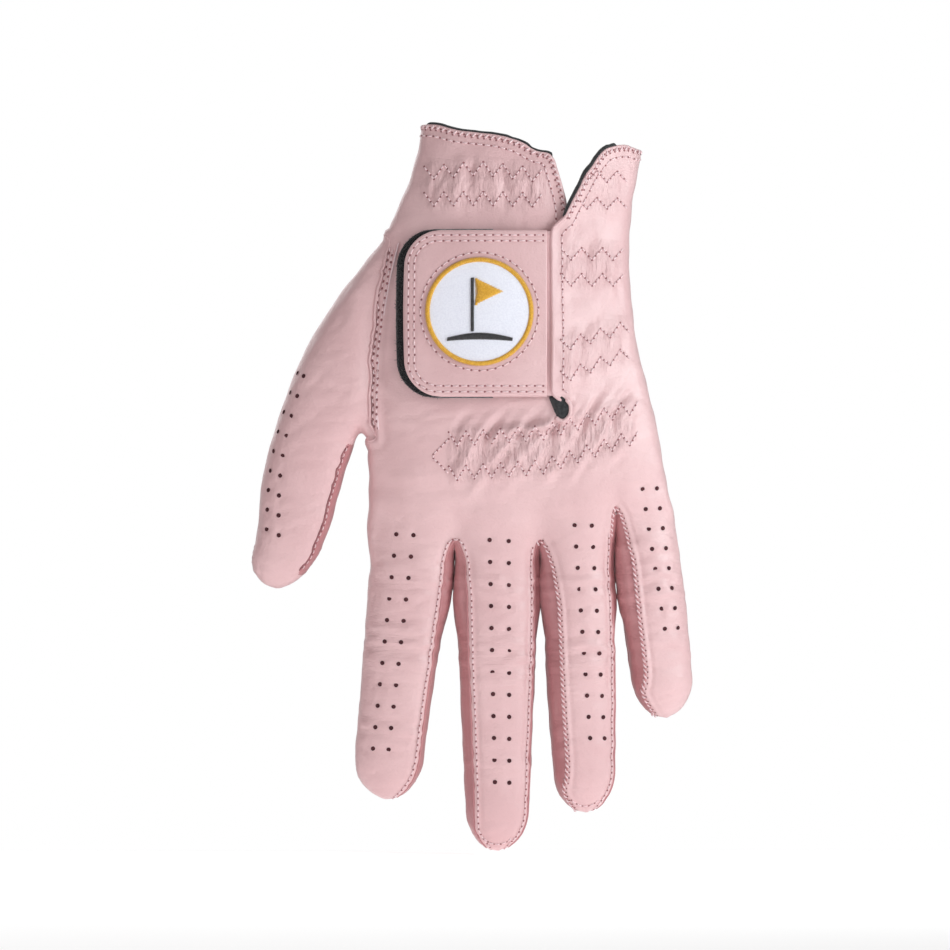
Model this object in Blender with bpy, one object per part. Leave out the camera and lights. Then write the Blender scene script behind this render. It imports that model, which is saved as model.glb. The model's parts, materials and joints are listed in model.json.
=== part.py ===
"""Left-hand golf glove in soft leather, standing cuff up with its fingers down.

One net of points gives the form of the glove, and each leather piece is a patch of it, thickened
inwards. +X is the little-finger side, -Y the back of the hand, +Z the cuff. Lengths are in
millimetres until the meshes are made.
"""

import math

import bpy
import numpy as np

MM = 0.001

# ---------------------------------------------------------------- driving dimensions, in mm
LEATHER = 0.7            # thickness of the leather
PATCH_GAP = 0.3          # between two pieces that are sewn together
HINGE_GAP = 0.9          # between two pieces that a joint moves apart
EDGE_CLEAR = 0.4         # the fingers' palm side stands this far in front of the rest plane

# Outline of the hand from cuff to knuckles: (height, side edge).
RADIAL_EDGE = [(89, -22.6), (77, -24.8), (61, -32.0), (34, -35.4), (9, -37.2), (-5, -36.0), (-18, -36.8)]
ULNAR_EDGE = [(89, 34.6), (83, 33.8), (71, 30.6), (55, 30.0), (34, 32.3), (10, 37.3), (-10, 41.0)]
HAND_DEPTH = [(89, 19), (70, 20.5), (45, 23), (20, 24), (0, 22), (-12, 18.5), (-19, 16.8)]
CUFF_BACK = [(-22.6, 89.4), (-15.6, 87.4), (-3, 86.4), (6, 84.6), (11.2, 81.6), (24, 83.6), (33.5, 84.0)]
CUFF_PALM = [(-22.6, 87.0), (-8, 77.0), (6, 68.0), (14, 66.0), (22, 68.5), (28, 76.0), (33.5, 83.2)]

# The slit in the back: its thumb-side edge and the edge of the flap that lies over it.
SLIT_UNDER = [(84, 11.0), (80.3, 11.2), (68, 15.0), (57, 13.9), (36, 13.6), (19.6, 11.6), (15.6, 11.4),
              (12.3, 13.6)]
SLIT_OVER = [(84, 24.2), (78.5, 20.9), (67.6, 14.7), (61, 11.5), (54, 11.0), (45, 10.9), (36, 10.9),
             (19.6, 11.9), (15.6, 15.3), (12.3, 13.6)]
SLIT_END = 12.3
FLAP_RAISE = 2.7         # the flap's edge stands this far off the hand under it

# The thumb hole: its edge on the back of the hand, and how far it runs into the palm.
THUMB_SEAM = [(61, -29.4), (50, -32.0), (39.5, -33.8), (29, -35.0), (19.5, -35.6), (9, -34.9)]
THUMB_HOLE_TOP, THUMB_HOLE_END = 60.8, 8.8
THUMB_HOLE_PALM = 6.0

# Rows of the net, as heights at the thumb side and at the little-finger side.
HAND_ROWS = [(78, 77), (69.5, 67), (60.8, 57), (50, 46.5), (39.5, 36.5), (29, 27.5), (19.5, 19.6),
             (14, 15.6), (8.8, 12.3), (0, 5), (-9, -2)]
# Columns of the net across the back, as shares of the width: four to each finger.
COLUMNS = [0, .07, .138, .208, .277, .356, .435, .515, .594, .65, .70, .775, .851, .888, .925, .963, 1]
SLIT_COLUMN = 10
PER_FINGER = 4
WALL_COLUMNS = 3         # faces across the wall between two fingers

# Where the fingers part: (x, height) of the hand's outer edges and of the three crotches.
CROTCH_LINE = [(-34.4, -16.2), (-14.5, -17.2), (7.5, -17.8), (26.6, -7.2), (38.8, -9.8)]
CROTCH_DIP = 1.2         # the leather dips this far at a crotch
WEB_GAP = 1.5            # the walls of two fingers stand this far apart just below their crotch

SEAM_ANGLE = 56          # degrees from a finger's middle to its seams, as a superellipse angle
ROUNDNESS = 2.5          # superellipse exponent of a finger's section

# Each finger: base and tip (x, height), half width and half depth along it (distance, value),
# twist in degrees, and the distances of its two joints from the base.
FINGERS = {
    "index": dict(base=(-25.0, -18.5), tip=(-32.4, -85.3), twist=-3,
                  width=[(0, 11.0), (12, 10.6), (25, 10.2), (38, 9.5), (57, 9.3)],
                  depth=[(0, 7.9), (25, 7.4), (57, 6.2)], knuckle=8, middle=27),
    "middle": dict(base=(-3.6, -18.7), tip=(-3.4, -98.5), twist=8,
                   width=[(0, 10.8), (12, 11.0), (25, 10.7), (45, 9.8), (69, 8.8)],
                   depth=[(0, 8.1), (30, 7.6), (69, 6.2)], knuckle=8, middle=31),
    "ring": dict(base=(16.9, -19.0), tip=(19.4, -88.7), twist=13,
                 width=[(0, 9.2), (13, 9.5), (38, 9.3), (57, 8.5)],
                 depth=[(0, 7.8), (28, 7.3), (60, 6.0)], knuckle=8, middle=28),
    "little": dict(base=(34.0, -9.4), tip=(40.1, -64.1), twist=15,
                   width=[(0, 7.5), (10, 8.1), (28, 8.5), (42, 8.1)],
                   depth=[(0, 7.2), (22, 6.6), (46, 5.6)], knuckle=8, middle=22),
}
ORDER = list(FINGERS)

# The thumb: its outer and inner edges (x, height) and half depth, section by section to the tip.
THUMB_OUTER = [(-39.0, 53.6), (-46.9, 43.2), (-54.2, 31.2), (-58.9, 19.2), (-62.2, 8.6), (-65.2, -2.6),
               (-65.4, -10.2), (-66.2, -17.0), (-67.4, -23.0), (-65.6, -27.6)]
THUMB_INNER = [(-38.7, 9.2), (-39.4, 7.6), (-40.2, 5.4), (-41.4, 1.9), (-42.7, -2.0), (-44.1, -7.2),
               (-45.5, -12.6), (-47.6, -18.6), (-51.2, -24.6), (-55.0, -28.6)]
THUMB_DEPTH = [10.2, 10.0, 9.5, 9.0, 8.5, 8.0, 7.8, 7.4, 6.4, 4.4]
THUMB_CENTRE_Y = [-11.4, -10.8, -10.3, -9.9, -9.5, -9.1, -8.9, -8.5, -8.2, -8.0]
THUMB_TIP = (-60.9, -31.8)
THUMB_JOINT_ROW = 6      # the section at the thumb's own joint

# The closure tab, over the back of the hand.
TAB_TOP, TAB_END = 62.1, 19.2
TAB_ROOT_X = 9.6
TAB_LEFT_X = -27.0
TAB_CORNER = 9.0
TAB_LEATHER = 0.9
TAB_LIFT, TAB_ROOT_LIFT = 2.5, 1.2   # inner face of the tab above the hand, at its free end and its root
LOOP_PATCH = dict(lift=0.3, thick=1.0, beyond=1.6, right=-3.0)
HOOK_PATCH = dict(lift=1.55, thick=0.6, inside=1.4, right=-5.0)
BADGE = (-8.1, 41.1)
BADGE_RADIUS = 14.0
BADGE_BORDER = 1.7

ELASTIC = 0.8
ELASTIC_LIFT = -1.9      # outer face of an elastic, under the leather
THREAD_RADIUS = 0.22


# ---------------------------------------------------------------- small tools
def profile(points):
    """A smooth curve through (position, value) points, level beyond its ends."""
    points = sorted(points)
    at = np.array([p[0] for p in points], float)
    value = np.array([p[1] for p in points], float)
    slope = np.gradient(value, at)

    def read(t):
        t = min(max(t, at[0]), at[-1])
        i = min(max(int(np.searchsorted(at, t)) - 1, 0), len(at) - 2)
        step = at[i + 1] - at[i]
        s = (t - at[i]) / step
        return float(value[i] * (1 + 2 * s) * (1 - s) ** 2 + slope[i] * step * s * (1 - s) ** 2
                     + value[i + 1] * s * s * (3 - 2 * s) + slope[i + 1] * step * s * s * (s - 1))

    return read


def mix(a, b, share):
    return a + (b - a) * share


def on_polyline(points, x):
    xs, zs = zip(*points)
    return float(np.interp(x, xs, zs))


radial_edge, ulnar_edge = profile(RADIAL_EDGE), profile(ULNAR_EDGE)
hand_depth = profile(HAND_DEPTH)
slit_under, slit_over = profile(SLIT_UNDER), profile(SLIT_OVER)
thumb_seam = profile(THUMB_SEAM)


# ---------------------------------------------------------------- the form of the hand
def hole_opening(z):
    """0 at the ends of the thumb hole and outside it, 1 at its middle."""
    s = (z - THUMB_HOLE_END) / (THUMB_HOLE_TOP - THUMB_HOLE_END)
    return math.sin(math.pi * s) if 0 < s < 1 else 0.0


def across(x, z):
    """Where x lies across the hand at height z: -1 at the thumb side, 1 at the little-finger side."""
    left = radial_edge(z) - 3.0 * hole_opening(z)
    right = ulnar_edge(z)
    return min(max((2 * x - left - right) / (right - left), -0.999), 0.999)


def back_y(x, z):
    """The back of the hand."""
    half = hand_depth(z) / 2
    return -half - half * (1 - abs(across(x, z)) ** 2.4) ** (1 / 2.4)


def palm_y(x, z):
    """The palm, flat at y = 0 over its middle."""
    half = hand_depth(z) / 2
    return min(0.0, -half + (half + 1.0) * (1 - abs(across(x, z)) ** 3) ** (1 / 3))


def flap_raise(x, z):
    """The flap stands off the hand along the slit, and sinks into it towards its sewn sides."""
    fall = min(max((x - slit_over(z)) / 14.0, 0.0), 1.0)
    end = min(max((z - SLIT_END) / 7.0, 0.0), 1.0)
    return FLAP_RAISE * (1 - fall) ** 2 * end


# ---------------------------------------------------------------- the net
class Net:
    """Vertices and faces of the whole glove. Each face belongs to a named piece."""

    def __init__(self):
        self.points, self.faces, self.pieces = [], [], []
        self.crotches, self.corners = [], []

    def add(self, x, y, z):
        self.points.append((x, y, z))
        return len(self.points) - 1

    def face(self, piece, *corners):
        self.faces.append(corners)
        self.pieces.append(piece)

    def band(self, upper, lower, piece_of):
        """Joins two closed rings of the same length. piece_of(column) names each face's piece."""
        count = len(upper)
        for i in range(count):
            j = (i + 1) % count
            self.face(piece_of(i), upper[i], lower[i], lower[j], upper[j])

    def close_tip(self, ring, tip, front, wall, piece_of):
        """Closes a ring on a line of tip points: front columns, wall columns, as many again behind."""
        for i in range(front):
            self.face(piece_of(i), ring[i], tip[i], tip[i + 1], ring[i + 1])
        for i in range(front, front + wall):
            self.face(piece_of(i), ring[i], tip[-1], ring[i + 1])
        for i in range(front):
            at = front + wall + i
            self.face(piece_of(at), ring[at], tip[front - i], tip[front - i - 1], ring[at + 1])
        for i in range(2 * front + wall, 2 * (front + wall)):
            self.face(piece_of(i), ring[i], tip[0], ring[(i + 1) % len(ring)])


def under_notch(share, z, cuff):
    """Height of a palm point: the rows below the palm's cuff crowd together where it is cut away."""
    rim = on_polyline(CUFF_PALM, mix(-22.6, 33.5, share))
    low = mix(*HAND_ROWS[2], share)
    if cuff or z <= low:
        return z
    return mix(low, rim, (z - low) / (mix(89, 85, share) - low))


def hand_row(net, zl, zr, cuff):
    """One ring round the hand. Returns its back (thumb side, flap side), its palm and its two edges."""
    def height(share, line):
        plain = mix(zl, zr, share)
        return on_polyline(line, mix(-22.6, 33.5, share)) if cuff else plain

    inset = 3.0
    z_left, z_right = height(0, CUFF_BACK), height(1, CUFF_BACK)
    left = radial_edge(z_left) + inset
    if THUMB_HOLE_END - 0.1 <= z_left <= THUMB_HOLE_TOP + 0.1:
        left = thumb_seam(z_left)
    right = ulnar_edge(z_right) - inset
    slit_z = 80.3 if cuff else height(COLUMNS[SLIT_COLUMN], CUFF_BACK)
    has_slit = slit_z > SLIT_END + 0.1
    plain_slit = mix(left, right, COLUMNS[SLIT_COLUMN])
    under_x = slit_under(slit_z) if slit_z > SLIT_END - 0.1 else plain_slit
    over_x = slit_over(83.4 if cuff else slit_z) if slit_z > SLIT_END - 0.1 else plain_slit
    middle = COLUMNS[SLIT_COLUMN]
    under, over = [], []
    for i, share in enumerate(COLUMNS):
        z = height(share, CUFF_BACK)
        if i <= SLIT_COLUMN:
            x = mix(left, under_x, share / middle)
            zz = slit_z if i == SLIT_COLUMN else z
            under.append(net.add(x, back_y(x, zz), zz))
        if i >= SLIT_COLUMN:
            x = mix(over_x, right, (share - middle) / (1 - middle))
            if has_slit or i > SLIT_COLUMN:
                over.append(net.add(x, back_y(x, z) - flap_raise(x, z), z))
            else:
                over.append(under[-1])
    palm_left = left + THUMB_HOLE_PALM * hole_opening(z_left)
    palm = []
    for share in COLUMNS:
        z = under_notch(share, height(share, CUFF_PALM), cuff)
        x = mix(palm_left, right, share)
        palm.append(net.add(x, palm_y(x, z), z))
    edges = {}
    for side, x, z in (("ulnar", ulnar_edge(z_right) + 0.3, z_right),
                       ("radial", radial_edge(z_left) - 0.3, z_left)):
        half = hand_depth(z) / 2
        edges[side] = [net.add(x, -half * (1 + lean), z) for lean in (0.36, -0.30)]
    return under, over, palm, edges


def crotch_row(net):
    """The ring where the fingers part, and the three lines of the webs across it."""
    back, palm = [], []
    for i in range(PER_FINGER * len(ORDER) + 1):
        k = min(i // PER_FINGER, len(ORDER) - 1)
        (x0, z0), (x1, z1) = CROTCH_LINE[k], CROTCH_LINE[k + 1]
        share = i / PER_FINGER - k
        x, z = mix(x0, x1, share), mix(z0, z1, share)
        dip = CROTCH_DIP if i % PER_FINGER == 0 and 0 < i < PER_FINGER * len(ORDER) else 0.0
        back.append(net.add(x, back_y(x, z) + dip, z))
        palm.append(net.add(x, palm_y(x, z) - dip, z))
    webs = []
    for c in range(1, len(ORDER)):
        x, z = CROTCH_LINE[c]
        y0, y1 = net.points[back[c * PER_FINGER]][1], net.points[palm[c * PER_FINGER]][1]
        webs.append([net.add(x, mix(y0, y1, s), z + 0.8) for s in (0.25, 0.75)])
        net.corners += [back[c * PER_FINGER], palm[c * PER_FINGER]]
        net.crotches += [*net.corners[-2:], *webs[-1]]
    edges = {}
    for side, x, z in (("ulnar", CROTCH_LINE[-1][0] + 3.0, CROTCH_LINE[-1][1]),
                       ("radial", CROTCH_LINE[0][0] - 3.0, CROTCH_LINE[0][1])):
        half = hand_depth(z) / 2
        edges[side] = [net.add(x, -half * (1 + lean), z) for lean in (0.36, -0.30)]
    return back, palm, webs, edges


def section_angles(front, wall, seam):
    """Angles round a section: front columns, wall columns, and the same behind."""
    first = np.linspace(-seam, seam, front + 1)
    right = np.linspace(seam, 180 - seam, wall + 1)[1:]
    rear = np.linspace(180 - seam, 180 + seam, front + 1)[1:]
    left = np.linspace(180 + seam, 360 - seam, wall + 1)[1:-1]
    return np.radians(np.concatenate([first, right, rear, left]))


def section(half_width, half_depth, twist, angles):
    """(sideways, forwards) of a superellipse at these angles, turned by twist and fitted to its width."""
    power = 2 / ROUNDNESS
    u = half_width * np.sign(np.sin(angles)) * np.abs(np.sin(angles)) ** power
    n = half_depth * np.sign(np.cos(angles)) * np.abs(np.cos(angles)) ** power
    c, s = math.cos(math.radians(twist)), math.sin(math.radians(twist))
    side, front = u * c + n * s, -u * s + n * c
    full = np.linspace(0, 2 * math.pi, 181)
    uf = half_width * np.sign(np.sin(full)) * np.abs(np.sin(full)) ** power
    nf = half_depth * np.sign(np.cos(full)) * np.abs(np.cos(full)) ** power
    side *= half_width / np.max(uf * c + nf * s)
    return side, front, float(np.max(uf * s - nf * c))


class Finger:
    """A finger's axis, and points on its sections."""

    def __init__(self, spec):
        self.base, self.tip = np.array(spec["base"], float), np.array(spec["tip"], float)
        self.length = float(np.linalg.norm(self.tip - self.base))
        self.down = (self.tip - self.base) / self.length
        self.side = np.array([-self.down[1], self.down[0]])
        self.width, self.depth = profile(spec["width"]), profile(spec["depth"])
        self.twist, self.knuckle, self.middle = spec["twist"], spec["knuckle"], spec["middle"]

    def point(self, t, side, y):
        x, z = self.base + self.down * t + self.side * side
        return float(x), float(y), float(z)

    def ring(self, net, t, shrink=1.0, thin=1.0, between=None):
        """One section; between holds the lowest and highest x where a neighbour leaves no more room."""
        angles = section_angles(PER_FINGER, WALL_COLUMNS, SEAM_ANGLE)
        side, front, rear = section(self.width(t) * shrink, self.depth(t) * thin, self.twist, angles)
        centre = -(EDGE_CLEAR + rear)
        points = np.array([self.point(t, s, centre - f) for s, f in zip(side, front)])
        if between:
            points[:, 0] = np.clip(points[:, 0], *between)
        return [net.add(*map(float, p)) for p in points]

    def rows(self):
        """(distance, width share, depth share) of each section below the crotch."""
        k, m, end = self.knuckle, self.middle, self.length
        plain = [k * 0.5, k] + [mix(k, m, s) for s in (0.36, 0.7, 1)]
        plain += [mix(m, end, s) for s in (0.24, 0.48, 0.7)]
        return [(t, 1.0, 1.0) for t in plain] + [(end - 6.5, 0.96, 0.93), (end - 2.8, 0.79, 0.72)]

    def tip_line(self, net):
        t = self.length + 0.3
        half = self.width(t) * 0.45
        y = -(EDGE_CLEAR + self.depth(t) * 1.0)
        spread = np.linspace(-1, 1, PER_FINGER + 1)
        return [net.add(*self.point(t - 1.1 * s * s, half * s, y)) for s in spread]


def finger_piece(name, part):
    """Names the piece of a face of this finger: part is its length, base or tip."""
    index_side = {"index": None, "middle": "index", "ring": "middle", "little": "ring"}[name]
    other_side = {"index": "middle", "middle": "ring", "ring": "little", "little": None}[name]

    def wall(web, neighbour):
        return f"{web}_fourchette" if part == "root" else f"{name}_{part}_gusset_{neighbour}_side"

    def piece_of(column):
        if PER_FINGER <= column < PER_FINGER + WALL_COLUMNS and other_side:
            return wall(f"{name}_{other_side}", other_side)
        if column >= 2 * PER_FINGER + WALL_COLUMNS and index_side:
            return wall(f"{index_side}_{name}", index_side)
        if part == "root":
            return "hand_leather"
        if not (index_side and other_side):
            return f"{name}_{part}_leather"
        return f"{name}_{part}_{'back' if column < PER_FINGER else 'palm'}_leather"

    return piece_of


def thumb_rings(net, root):
    """Sections of the thumb from the hole's edge to its tip, and the tip's points."""
    steps = (len(root) - 6) // 2
    angles = section_angles(steps, WALL_COLUMNS, SEAM_ANGLE)
    rings = [root]
    for outer, inner, half_depth, centre_y in zip(THUMB_OUTER, THUMB_INNER, THUMB_DEPTH, THUMB_CENTRE_Y):
        outer, inner = np.array(outer), np.array(inner)
        middle, half = (outer + inner) / 2, np.linalg.norm(inner - outer) / 2
        towards = (inner - outer) / (2 * half)
        side, front, _ = section(half, half_depth, 0, angles)
        rings.append([net.add(*(middle + towards * s), 0) for s in side])
        for index, s, f in zip(rings[-1], side, front):
            x, z = middle + towards * s
            net.points[index] = (float(x), centre_y - f, float(z))
    last = np.array(THUMB_INNER[-1]) - np.array(THUMB_OUTER[-1])
    last = last / np.linalg.norm(last)
    spread = np.linspace(-1, 1, steps + 1)
    tip = []
    for s in spread:
        x, z = np.array(THUMB_TIP) + last * s * 3.0 + np.array([-last[1], last[0]]) * s * s * 1.0
        tip.append(net.add(float(x), THUMB_CENTRE_Y[-1], float(z)))
    return rings, tip, steps


def hand_piece(net):
    """The hand from cuff to crotches, with its slit and thumb hole. Returns its rows and the webs."""
    rows = [hand_row(net, 89, 85, True)] + [hand_row(net, zl, zr, False) for zl, zr in HAND_ROWS]
    back, palm, webs, edges = crotch_row(net)
    rows.append((back[: SLIT_COLUMN + 1], back[SLIT_COLUMN:], palm, edges))
    hole = [i for i, (z, _) in enumerate(HAND_ROWS, 1) if THUMB_HOLE_END - 0.1 <= z <= THUMB_HOLE_TOP + 0.1]
    for upper, lower, number in zip(rows, rows[1:], range(len(rows))):
        for side in (0, 1):
            for i in range(len(upper[side]) - 1):
                above, below = upper[side][i: i + 2], lower[side][i: i + 2]
                net.face("hand_leather", above[0], below[0], below[1], above[1])
        rings = []
        for under, over, rear, edge in (upper, lower):
            ulnar = [over[-1], *edge["ulnar"], rear[-1]]
            radial = [rear[0], *reversed(edge["radial"]), under[0]]
            rings.append((ulnar, list(reversed(rear)), radial))
        for part, (top, low) in enumerate(zip(*rings)):
            if part == 2 and hole[0] <= number < hole[-1]:
                continue
            for i in range(len(top) - 1):
                net.face("hand_leather", top[i], low[i], low[i + 1], top[i + 1])
    return rows, hole, webs


def finger_sleeves(net, row, webs):
    """The four fingers, from the ring where they part down to their tips."""
    under, over, palm, edges = row
    back = under + over[1:]
    for k, name in enumerate(ORDER):
        finger = Finger(FINGERS[name])
        span = slice(k * PER_FINGER, (k + 1) * PER_FINGER + 1)
        far = webs[k] if k < len(webs) else edges["ulnar"]
        near = webs[k - 1] if k > 0 else edges["radial"]
        ring = [*back[span], *far, *reversed(palm[span]), *reversed(near)]
        room = (CROTCH_LINE[k][0] + WEB_GAP / 2 if k > 0 else -math.inf,
                CROTCH_LINE[k + 1][0] - WEB_GAP / 2 if k < len(webs) else math.inf)
        for t, shrink, thin in finger.rows():
            lower = finger.ring(net, t, shrink, thin, room if t <= finger.knuckle else None)
            part = "root" if t <= finger.knuckle else "base" if t <= finger.middle else "tip"
            net.band(ring, lower, finger_piece(name, part))
            ring = lower
        net.close_tip(ring, finger.tip_line(net), PER_FINGER, WALL_COLUMNS, finger_piece(name, "tip"))


def thumb_sleeve(net, rows, hole):
    """The thumb, from the hole in the hand out to its tip."""
    top, end = rows[hole[0]], rows[hole[-1]]
    root = [rows[i][0][0] for i in hole] + end[3]["radial"]
    root += [rows[i][2][0] for i in reversed(hole)] + list(reversed(top[3]["radial"]))
    rings, tip, steps = thumb_rings(net, root)
    for number, (upper, lower) in enumerate(zip(rings, rings[1:])):
        piece = "thumb_base_leather" if number < THUMB_JOINT_ROW else "thumb_tip_leather"
        net.band(upper, lower, lambda column, piece=piece: piece)
    net.close_tip(rings[-1], tip, steps, WALL_COLUMNS, lambda column: "thumb_tip_leather")


def build_net():
    """The whole net, and the edges of the cuff that are bound: (piece, points, way into the leather)."""
    net = Net()
    rows, hole, webs = hand_piece(net)
    finger_sleeves(net, rows[-1], webs)
    thumb_sleeve(net, rows, hole)
    cuff_edges = [("cuff_binding", rows[0][0][:-1], (0, 0, -1)),
                  ("flap_binding", [row[1][0] for row in rows[:3]], (1, 0, 0))]
    return net, cuff_edges


# ---------------------------------------------------------------- bodies and joints
def joint_point(name, distance):
    """A finger joint lies on the palm side, so the fold opens away from the back of the finger."""
    finger = Finger(FINGERS[name])
    x, _, z = finger.point(distance, 0, 0)
    return x, 0.0, z


def tab_root(z):
    return TAB_ROOT_X, back_y(TAB_ROOT_X, z) - FLAP_RAISE - 0.2, z


JOINTS = {"thumb_base": (-26.0, 0.0, 34.0), "tab": tab_root(mix(TAB_TOP, TAB_END, 0.5))}
JOINTS["thumb_tip"] = (*THUMB_INNER[THUMB_JOINT_ROW - 1][:1], -8.9, THUMB_INNER[THUMB_JOINT_ROW - 1][1])
for finger_name, finger_spec in FINGERS.items():
    JOINTS[f"{finger_name}_base"] = joint_point(finger_name, finger_spec["knuckle"])
    JOINTS[f"{finger_name}_tip"] = joint_point(finger_name, finger_spec["middle"])


def body_of(piece):
    """The rigid body a piece belongs to."""
    for body in JOINTS:
        if piece.startswith(body + "_"):
            return body
    return "hand"


# ---------------------------------------------------------------- making meshes
PINK, ROSE, KNIT = (0.86, 0.62, 0.65), (0.62, 0.30, 0.33), (0.05, 0.05, 0.055)
MATERIALS = {            # colour and roughness of each kind
    "leather": (PINK, 0.52),
    "fourchette": (ROSE, 0.58),
    "knit": (KNIT, 0.85),
    "elastic": ((0.93, 0.91, 0.90), 0.8),
    "pile": ((0.03, 0.03, 0.035), 0.95),
    "hooks": ((0.90, 0.72, 0.74), 0.6),
    "thread": ((0.88, 0.66, 0.69), 0.6),
    "twill": ((0.90, 0.89, 0.92), 0.7),
    "gold": ((0.78, 0.60, 0.30), 0.4),
    "motif": ((0.03, 0.03, 0.035), 0.6),
}


def make_object(piece, kind, points, faces):
    """One named part from points in millimetres, with its origin on its joint."""
    pivot = np.array(JOINTS.get(body_of(piece), (0.0, 0.0, 0.0)), float)
    mesh = bpy.data.meshes.new(piece)
    local = (np.array(points, float) - pivot) * MM
    mesh.from_pydata(local.tolist(), [], [list(f) for f in faces])
    mesh.shade_smooth()
    color, rough = MATERIALS[kind]
    material = bpy.data.materials.new(piece)
    material.use_nodes = True
    shader = material.node_tree.nodes["Principled BSDF"]
    shader.inputs["Base Color"].default_value = (*color, 1.0)
    shader.inputs["Roughness"].default_value = rough
    mesh.materials.append(material)
    part = bpy.data.objects.new(piece, mesh)
    part.location = tuple(pivot * MM)
    collection.objects.link(part)
    return part


def unit(v):
    length = np.linalg.norm(v)
    return v / length if length > 1e-9 else v


def point_normals(points, faces, upright=()):
    """Normal of each point, from all faces that meet there. Those of upright points don't lean sideways."""
    normals = np.zeros_like(points)
    for face in faces:
        p = points[list(face)]
        for i, index in enumerate(face):
            a, b = unit(p[i - 1] - p[i]), unit(p[(i + 1) % len(face)] - p[i])
            normals[index] += unit(np.cross(b, a)) * math.acos(min(max(float(a @ b), -1), 1))
    normals[list(upright), 0] = 0.0
    return np.array([unit(n) for n in normals])


def split(points, face, corners):
    """A four-sided face as two triangles, across its shorter diagonal, or the one that misses a corner."""
    if len(face) == 3:
        return [face]
    a, b, c, d = face
    shorter = np.linalg.norm(points[a] - points[c]) < np.linalg.norm(points[b] - points[d])
    if b in corners or d in corners or (shorter and a not in corners and c not in corners):
        return [(a, b, c), (a, c, d)]
    return [(a, b, d), (b, c, d)]


def leather_pieces(net):
    """Thickens each patch of the net inwards, and draws its edges back from its neighbours."""
    points = np.array(net.points, float)
    normals = point_normals(points, net.faces, net.crotches)
    owner = {}
    for face, piece in zip(net.faces, net.pieces):
        for i, a in enumerate(face):
            owner[(a, face[(i + 1) % len(face)])] = piece
    for piece in dict.fromkeys(net.pieces):
        patch = [f for f, p in zip(net.faces, net.pieces) if p == piece]
        pulls, rim = {}, []
        for face in patch:
            centre = points[list(face)].mean(axis=0)
            for i, a in enumerate(face):
                b = face[(i + 1) % len(face)]
                neighbour = owner.get((b, a))
                if neighbour == piece:
                    continue
                rim.append((a, b))
                if neighbour is None:
                    continue
                gap = PATCH_GAP if body_of(neighbour) == body_of(piece) else HINGE_GAP
                along = unit(points[b] - points[a])
                inward = centre - points[a]
                inward = unit(inward - along * (inward @ along))
                for index in (a, b):
                    tuck = LEATHER if piece.endswith("fourchette") and index in net.corners else 0.0
                    pulls.setdefault(index, []).append((inward, gap / 2 + tuck))
        used = sorted({index for face in patch for index in face})
        slot = {index: k for k, index in enumerate(used)}
        outer = []
        for index in used:
            move = np.zeros(3)
            if index in pulls:
                directions = np.array([d for d, _ in pulls[index]])
                gaps = np.array([g for _, g in pulls[index]])
                move = np.linalg.lstsq(directions, gaps, rcond=0.3)[0]
            outer.append(points[index] + move)
        inner = [p - normals[index] * LEATHER for p, index in zip(outer, used)]
        count = len(used)
        halves = [half for face in patch for half in split(points, face, net.corners)]
        faces = [[slot[i] for i in half] for half in halves]
        faces += [[slot[i] + count for i in reversed(half)] for half in halves]
        faces += [[slot[b], slot[a], slot[a] + count, slot[b] + count] for a, b in rim]
        kind = "fourchette" if "gusset" in piece or "fourchette" in piece else "leather"
        make_object(piece, kind, outer + inner, faces)


def slab(piece, kind, grid, lift, thick, closed=False):
    """A sheet that follows the back of the hand. grid holds rows of (x, z); lift(x, z) is off the hand."""
    rows, columns = len(grid), len(grid[0])
    points = []
    for off in (thick, 0.0):
        for row in grid:
            points += [(x, back_y(x, z) - lift(x, z) - off, z) for x, z in row]
    size = rows * columns
    faces, edge = [], []
    for r in range(rows - 1):
        for c in range(columns if closed else columns - 1):
            d = (c + 1) % columns
            quad = [r * columns + c, (r + 1) * columns + c, (r + 1) * columns + d, r * columns + d]
            faces += [quad, [i + size for i in reversed(quad)]]
    for c in range(columns if closed else columns - 1):
        d = (c + 1) % columns
        edge += [(c, d), ((rows - 1) * columns + d, (rows - 1) * columns + c)]
    if not closed:
        for r in range(rows - 1):
            start, end = r * columns, (r + 1) * columns
            edge += [(end, start), (start + columns - 1, end + columns - 1)]
    faces += [[a, b, b + size, a + size] for a, b in edge]
    return make_object(piece, kind, points, faces)


def disc_grid(x, z, radius, lines):
    """A square grid pressed into a disc, so it has no point at its middle."""
    def pressed(u, v):
        return x + radius * u * math.sqrt(1 - v * v / 2), z + radius * v * math.sqrt(1 - u * u / 2)

    steps = np.linspace(-1, 1, lines)
    return [[pressed(u, v) for u in steps] for v in steps[::-1]]


def ring_grid(x, z, outer, inner, sides):
    angles = np.linspace(0, 2 * math.pi, sides, endpoint=False)
    return [[(x + r * math.sin(a), z + r * math.cos(a)) for a in angles] for r in (outer, inner)]


def sweep(piece, kind, path, across_dirs, out_dirs, outline, closed=False):
    """Carries an outline of (across, out) points along a path."""
    points, count = [], len(outline)
    for p, side, out in zip(path, across_dirs, out_dirs):
        points += [tuple(p + side * s + out * o) for s, o in outline]
    steps = len(path)
    faces = []
    for k in range(steps if closed else steps - 1):
        m = (k + 1) % steps
        for i in range(count):
            j = (i + 1) % count
            faces.append([k * count + i, k * count + j, m * count + j, m * count + i])
    if not closed:
        faces += [list(reversed(range(count))), [i + (steps - 1) * count for i in range(count)]]
    return make_object(piece, kind, points, faces)


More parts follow.
